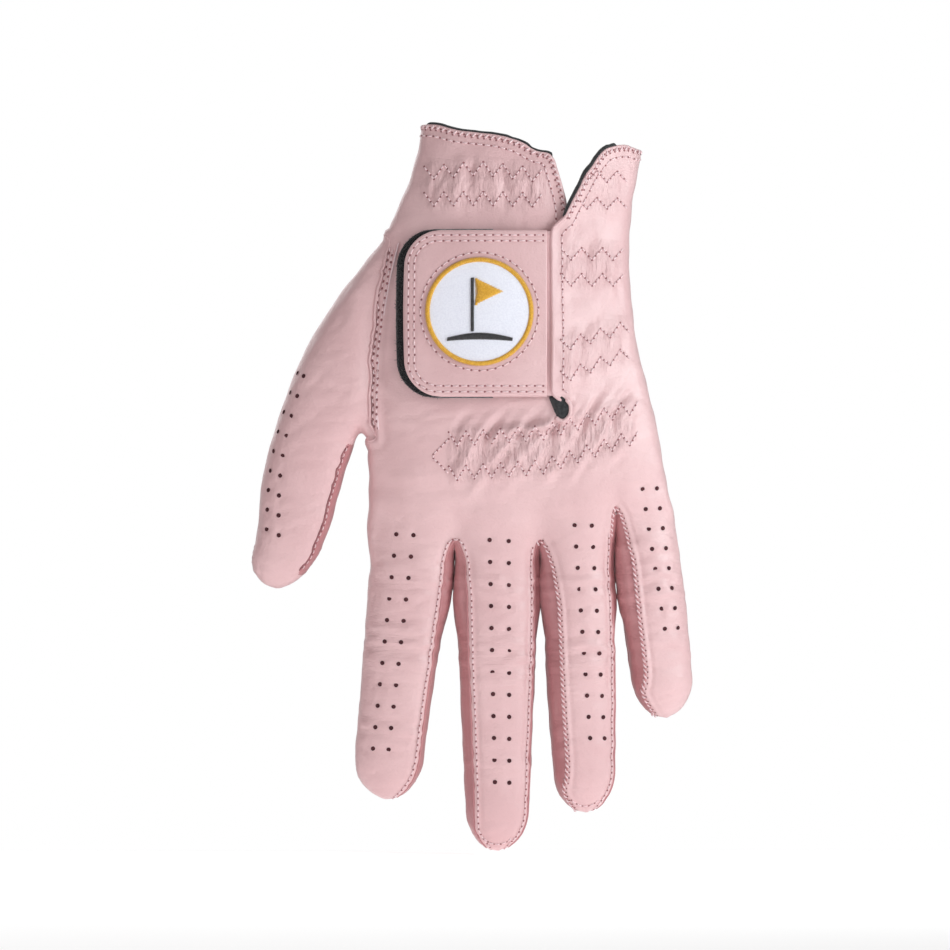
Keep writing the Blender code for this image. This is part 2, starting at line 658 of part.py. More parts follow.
def thread(piece, line, lift, closed=False, kind="thread"):
    """A thread that lies on the back of the hand, lift(x, z) off it."""
    path = [np.array((x, back_y(x, z) - lift(x, z) - THREAD_RADIUS, z)) for x, z in line]
    steps = len(path)
    sides, outs = [], []
    for k in range(steps):
        after = path[(k + 1) % steps] if closed or k < steps - 1 else path[k]
        before = path[k - 1] if closed or k > 0 else path[k]
        along = unit(after - before)
        side = unit(np.cross(along, (0.0, -1.0, 0.0)))
        sides.append(side)
        outs.append(unit(np.cross(side, along)))
    turn = np.linspace(0, 2 * math.pi, 6, endpoint=False)
    outline = [(THREAD_RADIUS * math.sin(a), THREAD_RADIUS * math.cos(a)) for a in turn]
    return sweep(piece, kind, path, sides, outs, outline, closed)


# ---------------------------------------------------------------- the pieces that aren't patches
def tab_left(z):
    """The tab's free edge, with its two round corners."""
    near = min(TAB_TOP - z, z - TAB_END)
    bow = 0.7 * math.sin(math.pi * (z - TAB_END) / (TAB_TOP - TAB_END))
    corner = TAB_CORNER - math.sqrt(max(TAB_CORNER ** 2 - max(TAB_CORNER - near, 0.0) ** 2, 0.0))
    return TAB_LEFT_X - bow + corner


def tab_lift(x, z):
    return mix(TAB_ROOT_LIFT, TAB_LIFT, min(max((TAB_ROOT_X - x) / 12.0, 0.0), 1.0))


def tab_rows(inside, right, columns):
    """Rows of (x, z) over the tab, drawn in by inside all round its free edge."""
    steps = np.sin(np.linspace(-0.5, 0.5, 13) * math.pi)
    grid = []
    for s in steps[::-1]:
        z = mix(TAB_END + inside, TAB_TOP - inside, (s + 1) / 2)
        raw = mix(TAB_END, TAB_TOP, (s + 1) / 2)
        left = tab_left(min(max(raw, TAB_END), TAB_TOP)) + inside
        grid.append([(mix(left, right, c), z) for c in np.linspace(0, 1, columns)])
    return grid


def on_tab(x, z):
    """How far what is sewn to the tab stands off the hand."""
    return tab_lift(x, z) + TAB_LEATHER + 0.3


def on_badge(x, z):
    return on_tab(x, z) + 0.8


def tab_seam_line(inset):
    """Along the tab's top edge, round its free edge and back along its lower edge."""
    radius, centre_x = TAB_CORNER - inset, TAB_LEFT_X + TAB_CORNER
    upper, lower = TAB_TOP - TAB_CORNER, TAB_END + TAB_CORNER
    turns = np.linspace(0, math.pi / 2, 6)[1:-1]
    line = [(x, TAB_TOP - inset) for x in np.linspace(TAB_ROOT_X - 1.5, centre_x, 9)]
    line += [(centre_x - radius * math.sin(a), upper + radius * math.cos(a)) for a in turns]
    line += [(tab_left(z) + inset, z) for z in np.linspace(upper, lower, 8)]
    line += [(centre_x - radius * math.cos(a), lower - radius * math.sin(a)) for a in turns]
    return line + [(x, TAB_END + inset) for x in np.linspace(centre_x, TAB_ROOT_X - 1.5, 9)]


def build_tab():
    """The closure: the leather tab, its hooks, the loops on the hand, and the seam round its edge."""
    hook, loop = HOOK_PATCH, LOOP_PATCH
    hook_rows = tab_rows(hook["inside"], hook["right"], 7)
    loop_rows = tab_rows(-loop["beyond"], loop["right"], 8)
    slab("tab_leather", "leather", tab_rows(0, TAB_ROOT_X - 0.3, 10), tab_lift, TAB_LEATHER)
    slab("tab_hook_patch", "hooks", hook_rows, lambda x, z: hook["lift"], hook["thick"])
    slab("loop_patch", "pile", loop_rows, lambda x, z: loop["lift"], loop["thick"])
    thread("tab_edge_thread", tab_seam_line(1.4), on_tab)


def build_badge():
    """A round woven badge: twill, satin border, and a golf flag over the ground, with no mark of a maker."""
    bx, bz = BADGE
    inner = BADGE_RADIUS - BADGE_BORDER
    slab("tab_badge_twill", "twill", disc_grid(bx, bz, inner - 0.3, 9), on_tab, 0.5)
    slab("tab_badge_border", "gold", ring_grid(bx, bz, BADGE_RADIUS, inner, 32), on_tab, 0.8, closed=True)
    turn = np.linspace(0, 2 * math.pi, 32, endpoint=False)
    reach = BADGE_RADIUS + 1.1
    ring = [(bx + reach * math.sin(a), bz + reach * math.cos(a)) for a in turn]
    thread("tab_badge_thread", ring, on_tab, closed=True)
    pole = [[(bx - 2.2, z), (bx - 1.4, z)] for z in np.linspace(bz + 8.6, bz - 5.0, 5)]
    slab("tab_badge_pole", "motif", pole, on_badge, 0.4)
    hoist, half, fly = bx - 1.1, 3.4, 7.4
    flag = []
    for s in (1, 0.5, 0, -0.5, -1):
        length = fly * max(1 - abs(s), 0.06)
        flag.append([(hoist + length * c, bz + 5.2 + half * s) for c in (0, 0.5, 1)])
    slab("tab_badge_pennant", "gold", flag, on_badge, 0.4)
    angles = np.linspace(-1.35, 1.35, 9)
    width, low = 8.6, bz - 7.6
    ground = [[(bx + width * math.sin(a), low + rise * math.cos(a)) for a in angles] for rise in (1.8, 0.4)]
    slab("tab_badge_ground", "motif", ground, on_badge, 0.4)


def build_elastics():
    """Bands behind the gathered rows of the back, and the dark patch behind the end of the slit."""
    bands = {            # (x, upper edge, lower edge) at each end, and between where a band bends
        "cuff_elastic": [(-22.0, 78.0, 68.0), (-8.0, 79.5, 68.0), (9.5, 77.0, 68.0)],
        "flap_top_elastic": [(20.0, 71.5, 66.0), (28.0, 71.5, 66.0)],
        "flap_upper_elastic": [(13.2, 58.5, 47.0), (28.0, 58.5, 47.0)],
        "flap_lower_elastic": [(13.2, 34.5, 22.5), (29.5, 39.0, 29.0)],
        "knuckle_elastic": [(-15.0, 9.6, -1.0), (8.0, 11.2, 0.6), (31.0, 17.6, 8.2)],
    }
    for name, corners in bands.items():
        xs = [c[0] for c in corners]
        across_x = np.linspace(xs[0], xs[-1], 9)
        top = [float(np.interp(x, xs, [c[1] for c in corners])) for x in across_x]
        low = [float(np.interp(x, xs, [c[2] for c in corners])) for x in across_x]
        grid = [[(float(x), mix(t, b, s)) for x, t, b in zip(across_x, top, low)] for s in (0, 0.33, 0.67, 1)]
        deep = ELASTIC_LIFT - ELASTIC
        slab(name, "elastic", grid, lambda x, z: deep, ELASTIC)
    widths = ((21.5, 2.2), (18.0, 4.0), (14.6, 4.2), (12.6, 2.6))
    grid = [[(13.6 + w * s, z) for s in (-1, -0.33, 0.33, 1)] for z, w in widths]
    slab("keyhole_patch", "knit", grid, lambda x, z: -4.6, 0.5)


def build_bindings(net, edges):
    """Folded tape round the cuff on the thumb side and down the flap."""
    points = np.array(net.points, float)
    normals = point_normals(points, net.faces)
    gap, tape, reach = 0.3, 0.6, 2.6
    under = -gap - LEATHER
    outline = [(-gap - tape, gap + tape), (reach, gap + tape), (reach, gap), (-gap, gap), (-gap, under),
               (reach, under), (reach, under - tape), (-gap - tape, under - tape)]
    for name, indices, towards in edges:
        path = points[indices]
        sides, outs = [], []
        for k, index in enumerate(indices):
            along = unit(path[min(k + 1, len(path) - 1)] - path[max(k - 1, 0)])
            out = unit(normals[index] - along * (normals[index] @ along))
            side = unit(np.cross(out, along))
            sides.append(side * math.copysign(1, side @ np.array(towards, float)))
            outs.append(out)
        forwards = np.cross(sides[0], outs[0]) @ (path[1] - path[0]) < 0
        sweep(name, "knit", path, sides, outs, outline if forwards else outline[::-1])


def build_thumb_seam():
    """The row of thread on the hand beside the thumb seam."""
    line = [(thumb_seam(z) + 1.0, z) for z in np.linspace(THUMB_HOLE_TOP - 2, THUMB_HOLE_END + 2, 16)]
    thread("hand_thumb_seam_thread", line, lambda x, z: 0.35)


for leftover in list(bpy.data.objects):
    bpy.data.objects.remove(leftover, do_unlink=True)
collection = bpy.data.collections.new("golf_glove")
bpy.context.scene.collection.children.link(collection)
glove, cuff_edges = build_net()
leather_pieces(glove)
build_tab()
build_badge()
build_elastics()
build_bindings(glove, cuff_edges)
build_thumb_seam()
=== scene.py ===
"""Looks of a left-hand leather golf glove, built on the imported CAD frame.

The leather's shape comes from the outer sheets of the CAD leather nodes. They are welded into one
net and smoothed, and seams, gathers, punched holes and stitches are made on that skin in metres.
X runs across the hand to the little finger, -Y out of its back, and Z up to the cuff.
"""
import json
import math
from collections import namedtuple

import bmesh
import bpy
import numpy as np
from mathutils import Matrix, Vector
from mathutils.bvhtree import BVHTree
from mathutils.kdtree import KDTree

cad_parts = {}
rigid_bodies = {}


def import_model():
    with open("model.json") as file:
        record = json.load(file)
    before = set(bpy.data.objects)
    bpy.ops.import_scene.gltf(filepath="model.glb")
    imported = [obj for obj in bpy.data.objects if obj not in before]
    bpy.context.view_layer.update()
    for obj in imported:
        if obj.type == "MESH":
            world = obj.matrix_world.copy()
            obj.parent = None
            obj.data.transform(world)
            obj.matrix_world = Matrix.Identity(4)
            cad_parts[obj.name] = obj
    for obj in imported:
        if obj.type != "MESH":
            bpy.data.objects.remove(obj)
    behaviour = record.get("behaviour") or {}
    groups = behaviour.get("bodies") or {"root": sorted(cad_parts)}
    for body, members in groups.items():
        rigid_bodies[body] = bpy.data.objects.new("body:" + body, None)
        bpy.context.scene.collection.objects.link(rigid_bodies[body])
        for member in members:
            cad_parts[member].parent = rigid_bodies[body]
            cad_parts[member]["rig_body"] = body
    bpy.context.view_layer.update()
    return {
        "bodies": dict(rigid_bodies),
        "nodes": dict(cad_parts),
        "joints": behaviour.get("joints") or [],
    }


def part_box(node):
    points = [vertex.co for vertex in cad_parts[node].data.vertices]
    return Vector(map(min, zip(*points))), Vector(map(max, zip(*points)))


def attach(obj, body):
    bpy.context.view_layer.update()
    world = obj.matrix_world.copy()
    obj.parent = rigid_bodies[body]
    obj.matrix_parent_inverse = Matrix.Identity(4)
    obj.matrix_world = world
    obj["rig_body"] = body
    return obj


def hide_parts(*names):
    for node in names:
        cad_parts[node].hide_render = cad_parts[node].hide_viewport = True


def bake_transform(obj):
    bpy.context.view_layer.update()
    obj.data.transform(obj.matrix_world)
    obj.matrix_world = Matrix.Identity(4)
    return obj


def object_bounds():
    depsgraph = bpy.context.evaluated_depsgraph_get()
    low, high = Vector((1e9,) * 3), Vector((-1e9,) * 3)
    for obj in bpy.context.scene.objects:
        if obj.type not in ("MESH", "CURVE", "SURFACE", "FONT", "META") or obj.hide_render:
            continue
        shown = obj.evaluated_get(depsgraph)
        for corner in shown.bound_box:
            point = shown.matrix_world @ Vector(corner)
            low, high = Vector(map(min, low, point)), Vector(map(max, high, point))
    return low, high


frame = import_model()

MM = 0.001
SHELL = 0.7 * MM                 # wall thickness of the CAD leather
WELD_REACH = 2 * MM              # the widest gap between two CAD shells that are sewn together
SUBDIVISION = 3
AHEAD = -0.2                     # y of a plane before the whole glove, from which rays look at its back
FINGERS = ("index", "middle", "ring", "little")
HINGES = {j["name"]: np.array(j["pos_m"]) for j in frame["joints"]}


# ---------------------------------------------------------------- small tools
def unit(v):
    v = np.asarray(v, float)
    length = np.linalg.norm(v, axis=-1, keepdims=True)
    return v / np.maximum(length, 1e-12)


def smoothstep(t):
    t = np.clip(t, 0.0, 1.0)
    return t * t * (3 - 2 * t)


def bump(t):
    """1 at t = 0, falling smoothly to 0 at t = -1 and 1."""
    return 1 - smoothstep(np.abs(t))


def stacked(x, y, z):
    return np.stack([x, y, z], axis=-1)


def sideways(down):
    """The direction across a finger or the thumb, towards the little finger's side."""
    return np.array([-down[2], 0, down[0]])


def corners(node):
    """The lowest and highest corners of a CAD node."""
    return tuple(np.array(c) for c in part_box(node))


def cad_points(node):
    return np.array([v.co for v in frame["nodes"][node].data.vertices])


def tree_of(points, numbers=None):
    """A search tree that gives each point's number: its index, or the one in numbers."""
    tree = KDTree(len(points))
    for place, number in zip(points, range(len(points)) if numbers is None else numbers):
        tree.insert(place, number)
    tree.balance()
    return tree


def surface_of(points, faces):
    """A tree of faces for rays and for the nearest place on them."""
    return BVHTree.FromPolygons([tuple(p) for p in points], [tuple(int(i) for i in f) for f in faces])


def point_normals(points, faces):
    """Normals at the points of a net of quads, weighted by the quads' areas."""
    a, b = points[faces[:, 2]] - points[faces[:, 0]], points[faces[:, 3]] - points[faces[:, 1]]
    flat = np.cross(a, b)
    total = np.zeros_like(points)
    for k in range(4):
        np.add.at(total, faces[:, k], flat)
    return unit(total)


def waves(p, pitch, seed, stretch=(1, 1, 1)):
    """Smooth noise from about -1 to 1 at points p, as a sum of sines in seeded directions."""
    rng = np.random.default_rng(seed)
    q = p / np.array(stretch)
    total = np.zeros(len(p))
    for _ in range(9):
        direction = unit(rng.normal(size=3))
        scale = pitch * rng.uniform(0.75, 1.35)
        total += np.sin(2 * math.pi * (q @ direction) / scale + rng.uniform(0, 2 * math.pi))
    return total / 4.2


def chains(edges):
    """Joins (a, b) edges into paths of points. Closed paths don't repeat their first point."""
    links = {}
    for a, b in edges:
        links.setdefault(a, []).append(b)
        links.setdefault(b, []).append(a)
    used, found = set(), []
    ends = [v for v, near in links.items() if len(near) != 2]
    for start in ends + list(links):
        for first in links[start]:
            if (start, first) in used:
                continue
            path = [start, first]
            used.update({(start, first), (first, start)})
            while len(links[path[-1]]) == 2 and path[-1] != start:
                onward = [v for v in links[path[-1]] if (path[-1], v) not in used]
                if not onward:
                    break
                used.update({(path[-1], onward[0]), (onward[0], path[-1])})
                path.append(onward[0])
            found.append(path[:-1] if path[0] == path[-1] else path)
    return found


def resample(line, step, closed=False):
    """Evenly spaced points along a line, at least two. Columns after the third are carried along."""
    line = np.asarray(line, float)
    if closed:
        line = np.vstack([line, line[:1]])
    gaps = np.linalg.norm(np.diff(line[:, :3], axis=0), axis=1)
    along = np.concatenate([[0], np.cumsum(gaps)])
    count = max(int(round(along[-1] / step)), 2)
    at = np.linspace(0, along[-1], count + 1)
    if closed:
        at = at[:-1]
    return np.stack([np.interp(at, along, line[:, k]) for k in range(line.shape[1])], axis=1)


def relax(line, times, closed=False):
    """Smooths a line, or values along one. The ends of an open line stay."""
    line = np.array(line, float)
    for _ in range(times):
        before, after = np.roll(line, 1, axis=0), np.roll(line, -1, axis=0)
        eased = 0.5 * line + 0.25 * (before + after)
        if not closed:
            eased[0], eased[-1] = line[0], line[-1]
        line = eased
    return line


def tangents(line, closed):
    before, after = np.roll(line, 1, axis=0), np.roll(line, -1, axis=0)
    if not closed:
        before[0], after[-1] = line[0], line[-1]
    return unit(after - before)


# ---------------------------------------------------------------- the skin, from the CAD shells
def is_skin(node):
    return node != "tab_leather" and any(word in node for word in ("leather", "gusset", "fourchette"))


def body_centre(body):
    boxes = [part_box(n) for n in frame["nodes"] if is_skin(n) and frame["nodes"][n]["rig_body"] == body]
    low = Vector([min(b[0][i] for b in boxes) for i in range(3)])
    high = Vector([max(b[1][i] for b in boxes) for i in range(3)])
    return (low + high) / 2


centres = {body: body_centre(body) for body in frame["bodies"] if body != "tab"}


def outwards(node, face):
    """How much a face looks away from the middle of the finger, thumb or hand it is part of."""
    body = frame["nodes"][node]["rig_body"]
    to_face = face.calc_center_median() - centres[body]
    if body == "hand":
        to_face.z = 0
    return face.normal.dot(to_face) * face.calc_area()


def connected(faces):
    """Sorts faces into sheets that hang together, the smallest sheet first."""
    left, sheets = dict.fromkeys(faces), []
    while left:
        stack = [left.popitem()[0]]
        sheet = list(stack)
        while stack:
            for edge in stack.pop().edges:
                for face in edge.link_faces:
                    if face in left:
                        del left[face]
                        stack.append(face)
                        sheet.append(face)
        sheets.append(sheet)
    return sorted(sheets, key=len)


def outer_sheet(node):
    """Points, which of them lie on the border, and faces of the outer side of a CAD shell."""
    bm = bmesh.new()
    bm.from_mesh(frame["nodes"][node].data)
    bmesh.ops.remove_doubles(bm, verts=bm.verts, dist=1e-6)
    # The cut faces between the two sides have edges as long as the wall is thick.
    rim = [f for f in bm.faces if any(abs(e.calc_length() - SHELL) < 0.006 * MM for e in f.edges)]
    bmesh.ops.delete(bm, geom=rim, context="FACES")
    sheets = connected(bm.faces)[-2:]
    if node.endswith("fourchette"):
        sheet = min(sheets, key=lambda fs: sum(f.calc_center_median().z for f in fs) / len(fs))
    else:
        sheet = max(sheets, key=lambda fs: sum(outwards(node, f) for f in fs) / len(fs))
    slots = {}
    for face in sheet:
        for vert in face.verts:
            slots.setdefault(vert.index, len(slots))
    bm.verts.ensure_lookup_table()
    chosen = set(sheet)
    points, border = np.zeros((len(slots), 3)), np.zeros(len(slots), bool)
    for index, slot in slots.items():
        vert = bm.verts[index]
        points[slot] = vert.co
        border[slot] = any(sum(f in chosen for f in e.link_faces) == 1 for e in vert.link_edges)
    faces = [[slots[v.index] for v in face.verts] for face in sheet]
    bm.free()
    return points, border, faces


def weld(points, owner, border):
    """Merges border points of different nodes that are each other's nearest, at their average."""
    trees = {}
    for k in sorted(set(owner)):
        mine = [i for i in range(len(points)) if owner[i] == k and border[i]]
        trees[k] = tree_of([points[i] for i in mine], mine)
    parent = list(range(len(points)))

    def root(i):
        while parent[i] != i:
            i = parent[i]
        return i

    for i in np.flatnonzero(border):
        for k, tree in trees.items():
            if k == owner[i]:
                continue
            _, j, distance = tree.find(points[i])
            if distance < WELD_REACH and trees[owner[i]].find(points[j])[1] == i:
                parent[root(j)] = root(int(i))
    roots = [root(i) for i in range(len(points))]
    order = {r: k for k, r in enumerate(dict.fromkeys(roots))}
    merged = np.zeros((len(order), 3))
    count = np.zeros(len(order))
    for i, r in enumerate(roots):
        merged[order[r]] += points[i]
        count[order[r]] += 1
    return merged / count[:, None], [order[r] for r in roots]


def build_skin():
    """The whole glove as one net of quads, subdivided. Returns points, quads and each quad's node."""
    points, owner, border, faces, labels = [], [], [], [], []
    for k, node in enumerate(tag_names):
        sheet_points, sheet_border, sheet_faces = outer_sheet(node)
        base = len(points)
        points += list(sheet_points)
        owner += [k] * len(sheet_points)
        border += list(sheet_border)
        faces += [[i + base for i in face] for face in sheet_faces]
        labels += [k] * len(sheet_faces)
    merged, slot = weld(points, owner, np.array(border))
    mesh = bpy.data.meshes.new("net")
    mesh.from_pydata([tuple(p) for p in merged], [], [[slot[i] for i in face] for face in faces])
    mesh.attributes.new("label", "INT", "FACE").data.foreach_set("value", labels)
    bm = bmesh.new()
    bm.from_mesh(mesh)
    layer = bm.faces.layers.int["label"]
    for edge in bm.edges:
        edge.seam = len({f[layer] for f in edge.link_faces}) > 1
    bmesh.ops.join_triangles(bm, faces=bm.faces, cmp_seam=True, angle_face_threshold=math.radians(50),
                             angle_shape_threshold=math.radians(70))
    bm.to_mesh(mesh)
    bm.free()
    net = bpy.data.objects.new("net", mesh)
    bpy.context.scene.collection.objects.link(net)
    smoother = net.modifiers.new("smooth", "SUBSURF")
    smoother.levels = smoother.render_levels = SUBDIVISION
    bpy.context.view_layer.update()
    fine = net.evaluated_get(bpy.context.evaluated_depsgraph_get()).to_mesh()
    out = np.zeros(len(fine.vertices) * 3)
    fine.vertices.foreach_get("co", out)
    faces = np.zeros(len(fine.polygons) * 4, int)
    fine.polygons.foreach_get("vertices", faces)
    tag = np.zeros(len(fine.polygons), int)
    fine.attributes["label"].data.foreach_get("value", tag)
    bpy.data.objects.remove(net)
    return out.reshape(-1, 3), faces.reshape(-1, 4), tag


tag_names = [n for n in sorted(frame["nodes"]) if is_skin(n)]
skin, quads, tags = build_skin()
point_node = np.zeros(len(skin), int)
point_node[quads.ravel()] = np.repeat(tags, 4)
TRANK, WALL, THUMB = 0, 1, 2
kinds = np.array([THUMB if "thumb" in n else TRANK if "leather" in n else WALL for n in tag_names])[tags]


def points_of(test):
    """Which points of the skin come from the nodes whose names pass a test."""
    return np.array([test(n) for n in tag_names])[point_node]


def points_on(start):
    return points_of(lambda n: n.startswith(start))


def lowest(start):
    """The lowest height of the nodes whose names start so."""
    return min(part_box(n)[0].z for n in tag_names if n.startswith(start))


TIP_Z = {finger: lowest(finger + "_tip") for finger in FINGERS}
edge_table = {}                  # each edge of the skin with the faces on its sides
for number, face in enumerate(quads):
    for k in range(4):
        ends = int(face[k]), int(face[(k + 1) % 4])
        edge_table.setdefault((min(ends), max(ends)), []).append(number)


def seams_between(test):
    return chains([e for e, fs in edge_table.items() if len(fs) == 2 and test({kinds[fs[0]], kinds[fs[1]]})])


wall_seams = seams_between(lambda sides: sides == {TRANK, WALL})
thumb_seam = seams_between(lambda sides: THUMB in sides and len(sides) > 1)[0]
open_edge = chains([e for e, fs in edge_table.items() if len(fs) == 1])[0]

centre_of_face = skin[quads].mean(axis=1)
face_tree = tree_of(centre_of_face)

# ---------------------------------------------------------------- which joint bends what
Bend = namedtuple("Bend", "bodies start end")          # a stretch that bends between two bodies
Axis = namedtuple("Axis", "near down side length reach")   # a finger's line from its knuckle
KNUCKLE_REACH, JOINT_REACH, THUMB_REACH = 7.4 * MM, 9 * MM, 6 * MM  # leather that bends on each side of a joint
BENDS, AXES = {}, {}
for finger in FINGERS:
    near, far = HINGES[finger + "_knuckle"], HINGES[finger + "_middle_joint"]
    length = np.linalg.norm(far - near)
    down = (far - near) / length
    reach = min(KNUCKLE_REACH, length * 0.48)
    second = min(JOINT_REACH, length - reach)
    base, tip = finger + "_base", finger + "_tip"
    BENDS[finger + "_knuckle"] = Bend(("hand", base), near - down * reach, near + down * reach)
    BENDS[finger + "_end"] = Bend((base, tip), far - down * second, far + down * second)
    AXES[finger] = Axis(near, down, sideways(down), length, reach)

thumb_loop = skin[thumb_seam]
seam_back = thumb_loop[thumb_loop[:, 1] < np.median(thumb_loop[:, 1])]
seam_top, seam_low = seam_back[np.argmax(seam_back[:, 2])], seam_back[np.argmin(seam_back[:, 2])]
thumb_low, thumb_high = corners("thumb_tip_leather")     # the thumb's axis runs down the middle of its tip
thumb_x = (thumb_low[0] + thumb_high[0]) / 2
thumb_end = np.array([thumb_x + 0.5 * MM, 0, thumb_low[2]])
thumb_start = np.array([thumb_x + 1.5 * MM, 0, thumb_high[2] - 3 * MM])
thumb_down = unit(thumb_end - thumb_start)
thumb_side = sideways(thumb_down)
seam_along = unit(seam_low - seam_top)
fold_out = unit(np.array([seam_along[2], 0, -seam_along[0]]))
BENDS["thumb_root"] = Bend(("hand", "thumb_base"), seam_low, seam_low + fold_out * THUMB_REACH)
BENDS["thumb_end"] = Bend(("thumb_base", "thumb_tip"), thumb_start - thumb_down * THUMB_REACH,
                          thumb_start + thumb_down * THUMB_REACH)


def along_finger(name, points):
    """How far points lie along a finger from its knuckle."""
    return (points - AXES[name].near) @ AXES[name].down


def across_finger(name, points):
    return (points - AXES[name].near) @ AXES[name].side


def finger_at(p):
    """The finger whose axis runs nearest to p, and how far p is to its little-finger side."""
    off = {f: float(across_finger(f, p)) for f in FINGERS}
    name = min(off, key=lambda f: abs(off[f]))
    return name, off[name]


def region_of(points, nodes):
    """The name of the bend, or the body, that each point belongs to. nodes names its nearest node."""
    found = np.full(len(points), "hand", dtype=object)
    fixed = np.array([n == "hand_leather" or n.endswith("fourchette") for n in nodes])
    lateral = np.stack([np.abs(across_finger(f, points)) for f in FINGERS], axis=1)
    nearest_finger = np.argmin(lateral, axis=1)
    for k, finger in enumerate(FINGERS):
        own = np.array([n.startswith((finger + "_base", finger + "_tip")) for n in nodes])
        along, reach = along_finger(finger, points), AXES[finger].reach
        mine = own | (fixed & (nearest_finger == k) & (along > -reach))
        found[mine & (along <= reach)] = finger + "_knuckle"
        found[mine & (along > reach)] = finger + "_end"
    thumb = np.array([n.startswith("thumb") for n in nodes])
    past = (points - BENDS["thumb_end"].start) @ thumb_down
    found[thumb & (past <= 0)] = "thumb_root"
    found[thumb & (past > 0)] = "thumb_end"
    return found


def emit(name, points, faces, homes, materials, body=None, mats=None, nodes=None, normals=None, masks=None):
    """Makes one object for each region the faces fall in. homes are the places that decide the region."""
    if body is None:
        if nodes is None:
            nodes = [tag_names[tags[face_tree.find(p)[1]]] for p in homes]
        regions = region_of(homes, nodes)
    else:
        regions = np.full(len(faces), body, dtype=object)
    made = {}
    for region in dict.fromkeys(regions):
        chosen = np.flatnonzero(regions == region)
        used = sorted({i for f in chosen for i in faces[f]})
        place = {index: k for k, index in enumerate(used)}
        mesh = bpy.data.meshes.new(name)
        mesh.from_pydata([tuple(points[i]) for i in used], [], [[place[i] for i in faces[f]] for f in chosen])
        for material in materials:
            mesh.materials.append(material)
        if mats is not None:
            mesh.polygons.foreach_set("material_index", [mats[f] for f in chosen])
        for mask, values in (masks or {}).items():
            mesh.attributes.new(mask, "FLOAT", "POINT").data.foreach_set("value", values[used])
        mesh.shade_smooth()
        if normals is not None:
            mesh.normals_split_custom_set_from_vertices([tuple(normals[i]) for i in used])
        obj = bpy.data.objects.new(name if region in (body, "hand") else region + "_" + name, mesh)
        bpy.context.scene.collection.objects.link(obj)
        if region in BENDS:
            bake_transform(obj)
        else:
            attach(obj, region)
        made[region] = obj
    return made


class Batch:
    """Many small solids of one piece, gathered before they are made into meshes."""

    def __init__(self):
        self.points, self.faces, self.homes, self.count = [], [], [], 0

    def add(self, points, faces, homes=None):
        """homes is one place for the solid or one for each face, and says which joint moves it."""
        points = np.asarray(points, float)
        homes = points.mean(axis=0) if homes is None else np.asarray(homes, float)
        self.points.append(points)
        self.faces += [[i + self.count for i in face] for face in faces]
        self.homes += list(np.broadcast_to(homes, (len(faces), 3)))
        self.count += len(points)

    def emit(self, name, material, slot, body=None, node=None):
        """Makes the piece. It stands for the CAD node that is named."""
        made = emit(name, np.vstack(self.points), self.faces, np.array(self.homes), [material], body)
        if node:
            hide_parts(node)


# ---------------------------------------------------------------- materials
def nodes_of(name):
    material = bpy.data.materials.new(name)
    material.use_nodes = True
    tree = material.node_tree
    return material, tree, tree.nodes["Principled BSDF"]


def link(tree, a, b):
    tree.links.new(a, b)


def pattern(tree, kind, scale, stretch):
    """A texture node in the object's own metres, stretched along its axes."""
    coords = tree.nodes.new("ShaderNodeTexCoord")
    mapping = tree.nodes.new("ShaderNodeMapping")
    mapping.inputs["Scale"].default_value = stretch
    link(tree, coords.outputs["Object"], mapping.inputs["Vector"])
    node = tree.nodes.new(kind)
    node.inputs["Scale"].default_value = scale
    link(tree, mapping.outputs["Vector"], node.inputs["Vector"])
    return node


def noise(tree, scale, detail=3.0, stretch=(1, 1, 1)):
    node = pattern(tree, "ShaderNodeTexNoise", scale, stretch)
    node.inputs["Detail"].default_value = detail
    node.inputs["Roughness"].default_value = 0.55
    return node


def cells(tree, scale, feature="F1", stretch=(1, 1, 1)):
    node = pattern(tree, "ShaderNodeTexVoronoi", scale, stretch)
    node.feature = feature
    return node


def ramp(tree, value, low, high, a, b):
    node = tree.nodes.new("ShaderNodeMapRange")
    for socket, number in (("From Min", low), ("From Max", high), ("To Min", a), ("To Max", b)):
        node.inputs[socket].default_value = number
    link(tree, value, node.inputs["Value"])
    return node.outputs["Result"]


def multiply(tree, a, b):
    node = tree.nodes.new("ShaderNodeMath")
    node.operation = "MULTIPLY"
    link(tree, a, node.inputs[0])
    link(tree, b, node.inputs[1])
    return node.outputs["Value"]


def blend_color(tree, factor, a, b):
    node = tree.nodes.new("ShaderNodeMix")
    node.data_type = "RGBA"
    link(tree, factor, node.inputs["Factor"])
    node.inputs[6].default_value = (*a, 1.0)
    node.inputs[7].default_value = (*b, 1.0)
    return node.outputs[2]


def bumps(tree, shader, layers):
    """Chains bump layers of (height, distance in metres, strength)."""
    last = None
    for height, distance, strength in layers:
        node = tree.nodes.new("ShaderNodeBump")
        node.inputs["Distance"].default_value = distance
        node.inputs["Strength"].default_value = strength
        link(tree, height, node.inputs["Height"])
        if last is not None:
            link(tree, last.outputs["Normal"], node.inputs["Normal"])
        last = node
    link(tree, last.outputs["Normal"], shader.inputs["Normal"])


def masked(tree, mask, texture):
    """A noise pattern times a mask painted on the mesh."""
    read = tree.nodes.new("ShaderNodeAttribute")
    read.attribute_name = mask
    return multiply(tree, read.outputs["Fac"], texture.outputs["Fac"])


